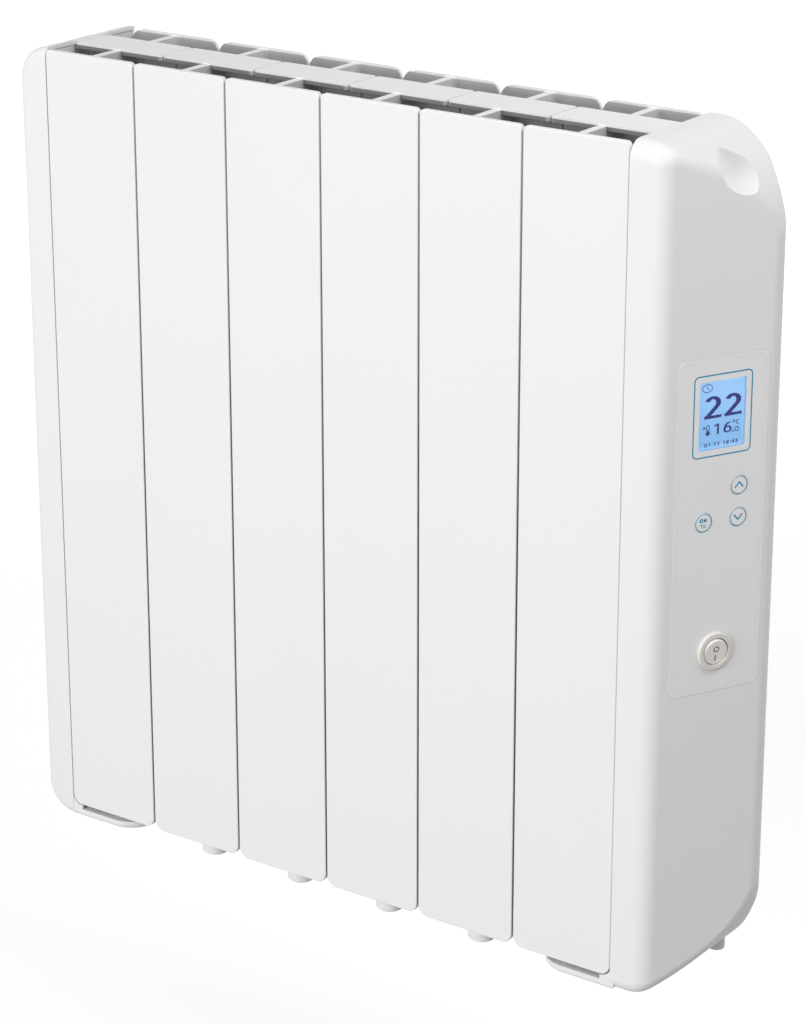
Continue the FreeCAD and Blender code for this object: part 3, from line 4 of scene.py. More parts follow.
import bpy
import numpy as np
from bpy.props import FloatProperty, FloatVectorProperty, PointerProperty, StringProperty
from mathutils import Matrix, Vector


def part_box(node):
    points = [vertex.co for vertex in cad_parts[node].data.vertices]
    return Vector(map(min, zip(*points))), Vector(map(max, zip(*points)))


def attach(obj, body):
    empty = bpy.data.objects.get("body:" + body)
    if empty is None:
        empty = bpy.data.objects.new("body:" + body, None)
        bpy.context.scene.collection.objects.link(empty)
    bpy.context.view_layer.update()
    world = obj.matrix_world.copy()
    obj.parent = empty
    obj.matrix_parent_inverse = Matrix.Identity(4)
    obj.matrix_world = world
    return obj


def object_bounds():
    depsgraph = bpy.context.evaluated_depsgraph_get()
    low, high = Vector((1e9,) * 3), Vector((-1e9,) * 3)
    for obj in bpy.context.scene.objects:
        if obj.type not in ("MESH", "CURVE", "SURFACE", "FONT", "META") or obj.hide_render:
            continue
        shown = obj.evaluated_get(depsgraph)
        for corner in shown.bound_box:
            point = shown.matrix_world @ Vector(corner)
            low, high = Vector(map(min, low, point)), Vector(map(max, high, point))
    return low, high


bl_info = {
    "name": "Electric radiator finish",
    "version": (1, 0, 0),
    "blender": (4, 5, 0),
    "location": "View3D > Sidebar > Radiator",
    "description": "Enamel, plastic, display, printed marks and studio for an electric radiator",
    "category": "Object",
}

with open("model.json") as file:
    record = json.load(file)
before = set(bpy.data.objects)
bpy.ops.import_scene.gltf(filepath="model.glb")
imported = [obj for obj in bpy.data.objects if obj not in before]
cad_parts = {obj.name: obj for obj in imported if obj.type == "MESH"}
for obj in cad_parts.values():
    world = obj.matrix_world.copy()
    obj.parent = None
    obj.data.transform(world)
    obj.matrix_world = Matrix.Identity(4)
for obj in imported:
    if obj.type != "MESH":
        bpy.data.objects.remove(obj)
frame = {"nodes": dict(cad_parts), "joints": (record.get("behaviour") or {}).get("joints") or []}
CAD_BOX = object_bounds()
MM = 0.001


def mm(*values):
    """Millimetres as an array in metres."""
    return np.array(values) * MM


# Settings


def linear(red, green, blue):
    """A screen colour of 0 to 255 per channel, as the linear colour that shaders use."""
    share = np.array((red, green, blue)) / 255
    return tuple(np.where(share <= 0.04045, share / 12.92, ((share + 0.055) / 1.055) ** 2.4))


def colour(label, text, rgb):
    """A colour property with its default."""
    return FloatVectorProperty(name=label, description=text, default=rgb, subtype="COLOR", min=0, max=1)


def length(label, text, millimetres):
    """A length property with its default given in millimetres."""
    return FloatProperty(name=label, description=text, default=millimetres * MM, unit="LENGTH")


def place(label, text, point):
    """A point in metres with its default."""
    return FloatVectorProperty(
        name=label, description=text, default=point, subtype="TRANSLATION", unit="LENGTH"
    )


def power(label, text, watts):
    """A lamp's power with its default."""
    return FloatProperty(name=label, description=text, default=watts, unit="POWER")


def wording(label, text, signs):
    """Signs to be drawn, with their default."""
    return StringProperty(name=label, description=text, default=signs)


class RadiatorColours(bpy.types.PropertyGroup):
    """Colours of the finishes that show."""

    enamel: colour("Enamel", "Stoved enamel of the cast sections", linear(235, 235, 236))
    # Painted shade: a dark grey that stands in for the shade deep between the section plates
    recess_shade: colour("Casting", "Thinly coated casting deep between the plates", linear(112, 113, 115))
    cap: colour("Caps", "Moulded plastic of both end caps", linear(235, 235, 235))
    gland: colour("Gland", "Nylon of the cable gland", linear(226, 225, 222))
    film: colour("Film", "Printed area of the panel film", linear(239, 239, 239))
    film_border: colour("Film border", "Clear border of the panel film", linear(239, 237, 235))
    # Painted highlight: a paler tone that stands in for light caught on the film's cut edge
    film_edge_highlight: colour("Film edge", "Cut edge of the panel film", linear(246, 243, 240))
    ink: colour("Ink", "Printed lines and key marks", linear(16, 138, 180))
    display: colour("Display", "Lit ground of the display", linear(136, 176, 213))
    figures: colour("Figures", "Dark figures of the display", linear(32, 30, 120))
    switch: colour("Switch", "Plastic of the switch's housing", linear(224, 220, 215))
    rocker: colour("Rocker", "Plastic of the switch's rocker", linear(242, 237, 231))
    switch_mark: colour("Switch marks", "Marks on the rocker", linear(96, 92, 90))


class RadiatorPrint(bpy.types.PropertyGroup):
    """Sizes and signs of what is printed or shown on the panel."""

    frame_width: length("Frame width", "Width of the printed frame round the display", 43.6)
    frame_height: length("Frame height", "Height of the printed frame round the display", 54.4)
    frame_corner: length("Frame corner", "Corner radius of the printed frame", 3.2)
    frame_line: length("Frame line", "Width of the printed frame's line", 0.9)
    ring_radius: length("Ring radius", "Radius of the ring on each key", 6.0)
    ring_line: length("Ring line", "Width of the ring's line", 0.55)
    mark_line: length("Mark line", "Width of the arrow strokes", 1.0)
    ink_depth: length("Ink depth", "Thickness of the print, half of it sunk in what it lies on", 0.06)
    main_figure: wording("Main figure", "Set temperature on the display", "22")
    room_figure: wording("Room figure", "Measured temperature on the display", "16")
    tenth_figure: wording("Tenth figure", "Tenths of the measured temperature", "0")
    clock_figure: wording("Clock", "Date and time on the display", "07.11 18:45")


class RadiatorStage(bpy.types.PropertyGroup):
    """Floor, lamps and camera."""

    floor_drop: length("Floor drop", "Distance from the radiator down to the floor", 150.0)
    floor_size: length("Floor size", "Side of the square floor", 24000.0)
    camera_place: place("Camera place", "Where the camera stands", (1.2521, -1.7029, 0.5155))
    camera_view: FloatVectorProperty(
        name="Camera view", description="Direction in which the camera looks",
        default=(-0.5475, 0.7648, -0.3395), subtype="DIRECTION",
    )
    lens: FloatProperty(
        name="Lens", description="Focal length on a 36 mm long side", default=112.69, unit="CAMERA"
    )
    key_power: power("Key lamp", "Power of the wide lamp at the front", 62.5)
    key_place: place("Key lamp place", "Where the front lamp hangs", (-0.30, -2.84, 0.51))
    top_power: power("Top lamp", "Power of the lamp above the right cap", 7.6)
    top_place: place("Top lamp place", "Where the upper lamp hangs", (1.00, -0.10, 1.10))
    back_power: power("Back lamp", "Power of the lamp behind the right cap", 7.0)
    back_place: place("Back lamp place", "Where the lamp behind the right cap hangs", (1.30, 0.90, 1.20))
    wall_power: power("Wall lamp", "Power of the wide lamp behind the left cap", 34.0)
    wall_place: place("Wall lamp place", "Where the lamp behind the left cap stands", (-1.60, 2.40, -0.30))
    ambient: FloatProperty(name="Ambient", description="Strength of the light all round", default=0.36)


# Linear colours of what lies inside or hardly shows

RUBBER_BLACK = (0.06, 0.06, 0.065)
PLUG_STEEL = (0.52, 0.52, 0.53)
HEATER_STEEL = (0.42, 0.41, 0.40)
BRASS = (0.62, 0.45, 0.18)
ZINC = (0.62, 0.62, 0.60)
SENSOR_BLACK = (0.02, 0.02, 0.022)
PART_BLACK = (0.018, 0.018, 0.02)
RELAY_BLUE = (0.02, 0.07, 0.25)
TERMINAL_GREEN = (0.03, 0.20, 0.07)
SOCKET_NYLON = (0.70, 0.68, 0.62)
SLEEVE_RED = (0.30, 0.02, 0.015)
RIBBON_GREY = (0.30, 0.30, 0.32)
BOARD_MASK = (0.010, 0.075, 0.030)
BOARD_TRACK = (0.05, 0.20, 0.07)
FILM_SHADE = (0.45, 0.46, 0.50)
LENS_CAST = (0.93, 0.96, 1.0)
WHITE = (1.0, 1.0, 1.0)

# Directions

RIGHT = (1, 0, 0)
BACK = (0, 1, 0)
FRONT = (0, -1, 0)
TOP = (0, 0, 1)
DOWN = (0, 0, -1)
ORIGIN = (0, 0, 0)

# Where the painted shade on the sections sets in and fades: each pair is a start and an end, in millimetres

BELOW_CROWN = (1.05, 1.5)
DEEP_DOWN = (4.0, 7.0)
BEHIND_FRONT = (0.8, 1.3)
BEFORE_REAR = (1.0, 2.0)
ABOVE_FOOT = (15.0, 24.0)
PAST_END = (-1.2, -0.9)
WEB_FROM_FRONT = (5.0, 9.0)
WEB_FROM_CROWN = (6.0, 30.0)
REAR_PLATE = (60.0, 80.0)
BEHIND_SEAM = (4.0, 8.0)
DOWN_SEAM = (0.0, 360.0)

# How much less painted shade there is deep down, on the web, on the rear plate and high in the seams

DEEP_LOSS = 0.22
WEB_LOSS = 0.6
REAR_LOSS = 0.4
SEAM_LOSS = 0.9

# The film's border, the painted highlight at its cut edge and the display's lit ground, in millimetres

FILM_MARGIN = 4.0
FILM_CORNER = 5.0
PRINT_EDGE = (-0.25, 0.25)
CUT_EDGE = (-1.0, -0.4)
LIT_HALF_WIDTH = 18.0
LIT_HALF_HEIGHT = 23.0


# Places on the panel


def joint(name):
    """A joint of the frame."""
    return next(row for row in frame["joints"] if row["name"] == name)


def joint_axis(name):
    """Unit axis of a joint."""
    axis = joint(name)["axis"]
    return np.array(axis) / np.linalg.norm(axis)


UP = np.array((0.0, 0.0, 1.0))
ACROSS = joint_axis("rocker_tilt")
OUT = -joint_axis("up_key_press")
PANEL_AXES = np.array((ACROSS, UP, OUT))


def corners(node):
    """All vertices of a CAD node."""
    mesh = frame["nodes"][node].data
    flat = np.empty(len(mesh.vertices) * 3)
    mesh.vertices.foreach_get("co", flat)
    return flat.reshape(-1, 3)


def level(node, direction):
    """How far a CAD node reaches along a direction."""
    return (corners(node) @ direction).max()


def middle(node):
    """Middle of a CAD node between its outermost points across, up and out of the panel."""
    reach = corners(node) @ PANEL_AXES.T
    return (reach.min(0) + reach.max(0)) / 2 @ PANEL_AXES


PANEL = middle("control_overlay")


def panel_half():
    """Half the width and half the height of the panel film."""
    away = corners("control_overlay") - PANEL
    return (away @ ACROSS).max(), (away @ UP).max()


def laid_on(node, points, axes=PANEL_AXES, centre=None):
    """Points drawn as (across, up, out) round the middle of a node, put on its outermost level.

    The axes are the directions of the three coordinates. Another centre may be given.
    """
    outward = axes[2]
    start = middle(node) if centre is None else centre
    foot = start + (level(node, outward) - start @ outward) * outward
    return foot + points @ axes


# Shader maths


class Signal:
    """A socket in a tree of nodes; Python's operators on it add Math nodes."""

    def __init__(self, nodes, link):
        self.nodes = nodes
        self.link = link

    def math(self, operation, *terms):
        """A Math node on links and numbers."""
        return self.nodes.node("ShaderNodeMath", {"operation": operation}, dict(enumerate(terms)))

    def larger(self, other):
        """The larger of this and another value."""
        return self.math("MAXIMUM", self, other)

    def __add__(self, other):
        return self.math("ADD", self, other)

    __radd__ = __add__

    def __sub__(self, other):
        return self.math("SUBTRACT", self, other)

    def __rsub__(self, other):
        return self.math("SUBTRACT", other, self)

    def __mul__(self, other):
        return self.math("MULTIPLY", self, other)

    __rmul__ = __mul__

    def __truediv__(self, other):
        return self.math("DIVIDE", self, other)

    def __rtruediv__(self, other):
        return self.math("DIVIDE", other, self)

    def __pow__(self, other):
        return self.math("POWER", self, other)

    def __rpow__(self, other):
        return self.math("POWER", other, self)

    def __abs__(self):
        return self.math("ABSOLUTE", self)


class Nodes:
    """A tree of nodes with the shader that Blender puts into it."""

    def __init__(self, tree, shader):
        self.tree = tree
        self.shader = tree.nodes[shader]

    def join(self, socket, value):
        """Give a socket a number, a vector, a colour or a link; a colour of three gets an alpha of 1."""
        if isinstance(value, Signal):
            self.tree.links.new(value.link, socket)
        elif hasattr(value, "__len__"):
            missing = len(socket.default_value) - len(value)
            socket.default_value = (*value, *[1.0] * missing)
        else:
            socket.default_value = value

    def node(self, kind, settings, sockets, output=0):
        """A new node: its settings first, then a value or a link for each socket, by name or number."""
        made = self.tree.nodes.new(kind)
        for label, value in settings.items():
            setattr(made, label, value)
        for key, value in sockets.items():
            self.join(made.inputs[key], value)
        return Signal(self, made.outputs[output])

    def feed(self, label, value):
        """Give one input of the shader a value or a link."""
        self.join(self.shader.inputs[label], value)

    def own_shader(self):
        """Output of the shader that Blender put into the tree."""
        return Signal(self, self.shader.outputs[0])

    def mix_shaders(self, share, first, second):
        """A shader between two, by a share of 0 to 1."""
        return self.node("ShaderNodeMixShader", {}, {0: share, 1: first, 2: second})

    def show(self, shader):
        """Make a shader the one that the tree ends in."""
        self.join(self.tree.get_output_node("ALL").inputs["Surface"], shader)

    def seen_rays(self):
        """1 for rays from the camera, a mirror or glass, 0 for the light that falls on the radiator."""
        labels = ("Is Camera Ray", "Is Glossy Ray", "Is Transmission Ray")
        camera, glossy, glass = [self.node("ShaderNodeLightPath", {}, {}, label) for label in labels]
        return camera.larger(glossy).larger(glass)


class Finish(Nodes):
    """One material, built from nodes on a Principled shader."""

    def __init__(self, name, **constants):
        self.material = bpy.data.materials.new(name)
        self.material.use_nodes = True
        super().__init__(self.material.node_tree, "Principled BSDF")
        self.place = self.node("ShaderNodeTexCoord", {}, {}, "Object")
        for label, value in constants.items():
            self.feed(label.replace("_", " "), value)

    def vector(self, operation, *terms, output="Vector"):
        """A Vector Math node on links and fixed vectors."""
        return self.node("ShaderNodeVectorMath", {"operation": operation}, dict(enumerate(terms)), output)

    def dot(self, first, second):
        """Dot product of two vectors."""
        return self.vector("DOT_PRODUCT", first, second, output="Value")

    def along(self, direction, origin):
        """Distance from a point along a direction."""
        return self.dot(self.vector("SUBTRACT", self.place, origin), direction)

    def stretched(self, scale):
        """Object coordinates scaled along each axis."""
        return self.node("ShaderNodeMapping", {}, {"Vector": self.place, "Scale": scale})

    def noise(self, scale, detail=2.0, place=None, roughness=0.55):
        """Fractal noise of 0 to 1; scale is in grains per metre."""
        sockets = {"Vector": place or self.place, "Scale": scale, "Detail": detail, "Roughness": roughness}
        return self.node("ShaderNodeTexNoise", {}, sockets)

    def step(self, value, low, high):
        """Smooth step from 0 at low to 1 at high."""
        sockets = {"Value": value, "From Min": low, "From Max": high}
        return self.node("ShaderNodeMapRange", {"interpolation_type": "SMOOTHSTEP"}, sockets)

    def rise(self, distance, span):
        """Smooth step of a distance in metres over a span given in millimetres."""
        return self.step(distance, span[0] * MM, span[1] * MM)

    def blend(self, share, first, second):
        """A colour between two, by a share of 0 to 1."""
        settings = {"data_type": "RGBA", "clamp_factor": True}
        return self.node("ShaderNodeMix", settings, {0: share, 6: first, 7: second}, 2)

    def toned(self, base, amount, signal):
        """A colour that goes a share darker and lighter with a signal of 0 to 1."""
        dark = tuple(c * (1 - amount) for c in base)
        light = tuple(min(1.0, c * (1 + amount)) for c in base)
        return self.blend(signal, dark, light)

    def spread(self, label, low, high, signal):
        """Let an input of the shader go from low to high with a signal of 0 to 1."""
        self.feed(label, low + (high - low) * signal)

    def bump(self, height, depth):
        """Relief of a height of 0 to 1 times a depth in millimetres."""
        sockets = {"Strength": 1.0, "Distance": depth * MM, "Height": height}
        self.feed("Normal", self.node("ShaderNodeBump", {}, sockets))


# Finishes


def recess_shade_share(finish):
    """Share of painted shade on the sections between the plates, where little light gets in.

    It is whole below the crown's sides, less deeper down, on the rear plate, on the web's sides near
    the top and at the upper end of the seams, and nothing on the outside, at the ends of the stack and
    on the pegs at the foot.
    """
    low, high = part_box("section_1")
    stack_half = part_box("section_6")[1].x
    down = finish.along(DOWN, high)
    back = finish.along(BACK, low)
    past_end = abs(finish.along(RIGHT, ORIGIN)) - stack_half
    forward = finish.along(FRONT, high)
    above = finish.along(TOP, low)
    between = finish.rise(back, BEHIND_FRONT) * finish.rise(forward, BEFORE_REAR)
    inside = between * finish.rise(above, ABOVE_FOOT) * (1 - finish.rise(past_end, PAST_END))
    deep = finish.rise(down, BELOW_CROWN) * (1 - DEEP_LOSS * finish.rise(down, DEEP_DOWN))
    normal = finish.node("ShaderNodeTexCoord", {}, {}, "Normal")
    sideways = abs(finish.dot(normal, RIGHT))
    # Painted light: the web's sides near the top get less of the painted shade, as if light reached them
    # there
    lit_web = sideways * finish.rise(back, WEB_FROM_FRONT) * (1 - finish.rise(down, WEB_FROM_CROWN))
    rear = finish.rise(back, REAR_PLATE)
    # Painted shade in the front seams: less of it high up, more towards the foot
    upper_seam = (1 - finish.rise(back, BEHIND_SEAM)) * (1 - finish.rise(down, DOWN_SEAM))
    left = (1 - WEB_LOSS * lit_web) * (1 - REAR_LOSS * rear) * (1 - SEAM_LOSS * upper_seam)
    return inside * deep * left


def enamel(name, base, recess_shade):
    """Stoved enamel: faint orange peel, slow drift of tone, uneven gloss, and painted shade deep between
    the plates.
    """
    finish = Finish(name, Specular_IOR_Level=0.5)
    drift = finish.noise(7.0)
    clouds = 0.85 + 0.15 * finish.noise(45.0, detail=3.0)
    tone = finish.toned(base, 0.012, drift)
    # Painted shade: the colour goes towards the dark grey between the plates, unevenly
    finish.feed("Base Color", finish.blend(recess_shade_share(finish) * clouds, tone, recess_shade))
    finish.spread("Roughness", 0.34, 0.42, finish.noise(60.0))
    finish.spread("Coat Weight", 0.12, 0.18, drift)
    finish.bump(finish.noise(520.0, detail=1.0), depth=0.03)
    return finish.material


def moulded(name, base, gloss=0.50, grain=1500.0, depth=0.02):
    """Moulded plastic: fine spark-eroded grain over a slow drift of tone."""
    finish = Finish(name, Specular_IOR_Level=0.38)
    texture = finish.noise(grain)
    finish.feed("Base Color", finish.toned(base, 0.012, finish.noise(9.0) * 0.7 + texture * 0.3))
    finish.spread("Roughness", gloss - 0.05, gloss + 0.05, texture)
    finish.bump(texture, depth)
    return finish.material


def brushed(name, base, gloss=0.28, streak=(900.0, 60.0, 60.0)):
    """Machined or plated metal: fine streaks across one direction and a little cloud in the plating."""
    finish = Finish(name, Metallic=1.0)
    streaks = finish.noise(1.0, detail=3.0, place=finish.stretched(streak))
    cloud = finish.noise(140.0, detail=3.0)
    finish.feed("Base Color", finish.toned(base, 0.10, streaks * 0.6 + cloud * 0.4))
    finish.spread("Roughness", gloss - 0.06, gloss + 0.10, streaks)
    finish.bump(streaks, depth=0.02)
    return finish.material


def pressed_rubber(name, base):
    """Rubber and fibre: dull, with a close speckle."""
    finish = Finish(name, Specular_IOR_Level=0.3)
    speckle = finish.noise(1800.0, detail=3.0)
    finish.feed("Base Color", finish.toned(base, 0.25, speckle))
    finish.spread("Roughness", 0.72, 0.87, speckle)
    finish.bump(speckle, depth=0.04)
    return finish.material


def laminate(name):
    """Circuit board: green mask with paler copper tracks under it, along the edges of random cells."""
    finish = Finish(name, Specular_IOR_Level=0.5)
    sockets = {"Vector": finish.place, "Scale": 210.0}
    edge = finish.node("ShaderNodeTexVoronoi", {"feature": "DISTANCE_TO_EDGE"}, sockets, "Distance")
    tracks = 1 - finish.step(edge, low=0.03, high=0.07)
    finish.feed("Base Color", finish.blend(tracks, BOARD_MASK, BOARD_TRACK))
    finish.spread("Roughness", 0.30, 0.42, finish.noise(400.0))
    finish.bump(tracks, depth=0.03)
    return finish.material


def printed_film(name, base, border, edge_highlight):
    """Satin film: a printed area with rounded corners in a clear border, with a painted highlight along its
    cut edge.

    The distance from a rectangle inside the film is worked out. The print ends at the corner's radius.
    """
    finish = Finish(name, Specular_IOR_Level=0.5)
    half_width, half_height = panel_half()
    inset = (FILM_MARGIN + FILM_CORNER) * MM
    across = (abs(finish.along(ACROSS, PANEL)) - (half_width - inset)).larger(0.0)
    up = (abs(finish.along(UP, PANEL)) - (half_height - inset)).larger(0.0)
    outside = (across ** 2.0 + up ** 2.0) ** 0.5
    printed = 1 - finish.rise(outside - FILM_CORNER * MM, PRINT_EDGE)
    cut = finish.rise(outside - inset, CUT_EDGE)
    # Painted highlight: the border turns paler towards the film's cut edge
    tone = finish.blend(cut, finish.blend(printed, border, base), edge_highlight)
    weave = finish.noise(2600.0, detail=1.0)
    finish.feed("Base Color", finish.blend(0.03 * finish.noise(30.0), tone, FILM_SHADE))
    finish.spread("Roughness", 0.36, 0.44, weave)
    finish.bump(weave, depth=0.008)
    return finish.material


def lit_display(name, base):
    """Backlit display: brighter towards its edges, dimmer at its foot, with the close grid of its dots."""
    finish = Finish(name, Roughness=0.25, Emission_Strength=0.42)
    centre = middle("lcd_glass")
    across = abs(finish.along(ACROSS, centre)) / (LIT_HALF_WIDTH * MM)
    up = abs(finish.along(UP, centre)) / (LIT_HALF_HEIGHT * MM)
    edge = finish.step(across.larger(up), low=0.86, high=0.94)
    height = finish.rise(finish.along(UP, centre), (-LIT_HALF_HEIGHT, LIT_HALF_HEIGHT))
    bright = tuple(min(1.0, c * 1.20) for c in base)
    dim = (base[0] * 0.66, base[1] * 0.80, base[2] * 0.86)
    cloud = finish.noise(55.0)
    dots = finish.noise(3200.0, detail=0.0)
    share = edge * 0.8 + cloud * 0.15 + dots * 0.05
    tone = finish.blend(share, finish.blend(height, dim, base), bright)
    finish.feed("Base Color", tone)
    finish.feed("Emission Color", tone)
    return finish.material


def clear_lens(name):
    """Clear acrylic with an anti-reflection coat, a faint cast of blue and the lightest haze."""
    finish = Finish(name, Base_Color=LENS_CAST, Transmission_Weight=1.0, IOR=1.2)
    finish.spread("Roughness", 0.02, 0.05, finish.noise(90.0))
    return finish.material


def ink(name, base):
    """Screen-printed ink: flat and even, with a slight thinning at the scale of the mesh."""
    finish = Finish(name, Specular_IOR_Level=0.4)
    mesh = finish.noise(3000.0, detail=1.0)
    finish.feed("Base Color", finish.toned(base, 0.08, mesh))
    finish.spread("Roughness", 0.42, 0.52, mesh)
    return finish.material


def white_floor(name):
    """Pale matt floor that the camera sees as white, with the shadow that falls on it.

    To the camera it is part lit surface, which holds the shadow, and part glow. The glow takes over further
    away. The light that it sends back to the radiator is that of a plain grey floor.
    """
    surface_tone = (0.88, 0.88, 0.88)
    bounce_tone = (0.35, 0.35, 0.35)
    glow_strength = 1.25
    glow_near = 0.55
    glow_gain = 0.27
    fade_start, fade_end = 1.2, 3.0
    finish = Finish(name, Roughness=0.9, Specular_IOR_Level=0.1)
    finish.feed("Base Color", finish.toned(surface_tone, 0.01, finish.noise(3.0)))
    glow = finish.node("ShaderNodeEmission", {}, {"Color": WHITE, "Strength": glow_strength})
    away = finish.vector("LENGTH", finish.place, output="Value")
    share = glow_near + glow_gain * finish.step(away, fade_start, fade_end)
    seen = finish.mix_shaders(share, finish.own_shader(), glow)
    bounce = finish.node("ShaderNodeBsdfDiffuse", {}, {"Color": bounce_tone})
    finish.show(finish.mix_shaders(finish.seen_rays(), bounce, seen))
    return finish.material


# Shapes


def arc(centre, radius, first, last, count):
    """Points on a circle: centre + radius * (cos a, sin a), a from first to last in degrees."""
    angle = np.radians(np.linspace(first, last, count))
    return np.array(centre) + radius * np.stack((np.cos(angle), np.sin(angle)), 1)


def circle(centre, radius, count):
    """Points all round a circle, the last one step before the first."""
    return arc(centre, radius, 0, 360 - 360 / count, count)


def bow(across, up, wide, high, first=0, last=352):
    """Points on an ellipse about (across, up), half axes wide and high, between two angles in degrees."""
    return arc((0, 0), 1.0, first, last, 45) * (wide, high) + (across, up)


def rounded_rectangle(width, height, radius):
    """Points round a rectangle with quarter circles at its corners, anticlockwise."""
    across, up = width / 2 - radius, height / 2 - radius
    quarters = [((across, up), 0), ((-across, up), 90), ((-across, -up), 180), ((across, -up), 270)]
    return np.concatenate([arc(corner, radius, start, start + 90, 12) for corner, start in quarters])


def stroke(path, width, depth, closed=False):
    """A band along a flat path: a rectangle of width by depth, carried along with mitred corners.

    At each point the offset is the mean of the two sides' normals, lengthened by one over its cosine.
    The band lies from depth / 2 below the drawing plane to depth / 2 above it.
    """
    path = np.asarray(path, float)
    count = len(path)
    ahead = np.roll(path, -1, 0) - path
    sides = np.stack((-ahead[:, 1], ahead[:, 0]), 1) / np.linalg.norm(ahead, axis=1, keepdims=True)
    if not closed:
        sides[-1] = sides[-2]
    behind = np.roll(sides, 1, 0)
    if not closed:
        behind[0] = sides[0]
    normal = sides + behind
    normal /= np.linalg.norm(normal, axis=1, keepdims=True)
    normal *= width / 2 / np.sum(normal * sides, 1, keepdims=True)
    left, right = path + normal, path - normal
    low, high = np.full((count, 1), -depth / 2), np.full((count, 1), depth / 2)
    section = ((left, low), (right, low), (right, high), (left, high))
    rings = np.stack([np.hstack(corner) for corner in section], 1)
    first = np.arange(count if closed else count - 1)[:, None] * 4
    second = (first + 4) % (count * 4)
    turn = np.arange(4)[None, :]
    after = (turn + 1) % 4
    faces = np.stack((first + turn, first + after, second + after, second + turn), 2).reshape(-1, 4)
    if not closed:
        ends = np.array([(3, 2, 1, 0), np.arange(4 * count - 4, 4 * count)])
        faces = np.concatenate((faces, ends))
    return rings.reshape(-1, 3), faces


def disc(centre, radius, depth, count=32):
    """A flat disc: a stroke along a circle of half the radius, all but closed at the centre."""
    return stroke(circle(centre, radius / 2, count), radius * 0.999, depth, closed=True)


def sign_paths(sign):
    """Strokes of a sign in a box of 1 by 1: each is a path and whether it closes."""
    two = np.concatenate([bow(0.47, 0.72, 0.43, 0.28, 160, -40), [(0.07, 0.03)]])
    five = np.concatenate([
        [(0.9, 1.0), (0.2, 1.0), (0.14, 0.58)],
        bow(0.46, 0.34, 0.46, 0.34, 125, -150),
    ])
    paths = {
        "0": [(bow(0.5, 0.5, 0.5, 0.5), True)],
        "1": [([(0.06, 0.82), (0.62, 1.0)], False), ([(0.62, 1.07), (0.62, -0.07)], False)],
        "2": [(two, False), ([(-0.16, 0.0), (1.16, 0.0)], False)],
        "3": [
            (bow(0.45, 0.77, 0.42, 0.23, 150, -90), False),
            (bow(0.45, 0.28, 0.50, 0.28, 90, -150), False),
        ],
        "4": [([(0.72, 0.0), (0.72, 1.0), (0.04, 0.30)], False), ([(0.0, 0.28), (1.0, 0.28)], False)],
        "5": [(five, False)],
        "6": [(bow(0.5, 0.30, 0.46, 0.30), True), (bow(0.82, 0.30, 0.78, 0.70, 180, 86), False)],
        "7": [([(0.0, 1.0), (1.0, 1.0)], False), ([(0.94, 1.0), (0.35, 0.0)], False)],
        "8": [(bow(0.5, 0.76, 0.40, 0.24), True), (bow(0.5, 0.27, 0.48, 0.27), True)],
        "9": [(bow(0.5, 0.70, 0.46, 0.30), True), (bow(0.18, 0.70, 0.78, 0.70, 0, -94), False)],
        "C": [(bow(0.55, 0.5, 0.52, 0.5, 48, 312), False)],
        "O": [(bow(0.5, 0.5, 0.5, 0.5), True)],
        "K": [
            ([(0.04, 0.0), (0.04, 1.0)], False),
            ([(0.92, 1.0), (0.10, 0.40)], False),
            ([(0.36, 0.60), (0.98, 0.0)], False),
        ],
        ".": [([(0.5, -0.1), (0.5, 0.14)], False)],
        ":": [([(0.5, 0.08), (0.5, 0.32)], False), ([(0.5, 0.62), (0.5, 0.86)], False)],
        " ": [],
    }
    return paths[sign]


def figures(text, box, depth, weight=0.5, stretch=1.3, gap=0.15):
    """Signs side by side in a box of two corners, drawn with strokes of one weight, in millimetres.

    Upright strokes are stretch times as heavy as level ones: each band is laid along a path drawn
    narrower by that factor, and the result is stretched across. Dots and spaces take half the room of
    a digit, and gap is the space between signs as a share of a digit's. The depth is in metres.
    """
    low, high = box
    share = np.array([0.5 if sign in ".: " else 1.0 for sign in text])
    room = (high[0] - low[0]) / (share.sum() + gap * (len(text) - 1))
    start = low[0] + room * (np.cumsum(share + gap) - share - gap)
    heavy = weight * stretch
    shapes = []
    for sign, left, wide in zip(text, start, room * share - heavy):
        scale = mm(wide / stretch, high[1] - low[1] - weight)
        corner = mm((left + heavy / 2) / stretch, low[1] + weight / 2)
        for path, closed in sign_paths(sign):
            points, faces = stroke(np.asarray(path) * scale + corner, weight * MM, depth, closed)
            shapes.append((points * (stretch, 1, 1), faces))
    return shapes


def clock_sign(depth):
    """A small clock: an oval and two hands."""
    centre = mm(-11.0, 18.25)
    half_axes = mm(3.75, 2.6)
    hands = centre + mm((0, 1.6), (0, 0), (1.4, -0.8))
    return [
        stroke(bow(*centre, *half_axes), 0.5 * MM, depth, closed=True),
        stroke(hands, 0.45 * MM, depth),
    ]


def thermometer_sign(depth):
    """A thermometer: a bulb with a bar through it, its column, the tube round that and a pointer."""
    bulb = mm(-9.7, -12.0)
    bulb_radius = 1.5 * MM
    bar = bulb + mm((-2.3, -0.4), (2.3, -0.4))
    column = bulb + mm((0, 0.5), (0, 2.6))
    left, right = bulb + mm((-1.0, 1.5), (1.0, 1.5))
    dome = arc(bulb + mm(0, 4.4), 1.0 * MM, 180, 0, 16)
    pointer = mm((-12.9, -7.4), (-12.9, -9.0), (-11.4, -8.2))
    return [
        disc(bulb, bulb_radius, depth),
        stroke(bar, 0.5 * MM, depth),
        stroke(column, 0.7 * MM, depth),
        stroke([left, *dome, right], 0.55 * MM, depth),
        stroke(pointer, 0.5 * MM, depth, closed=True),
    ]


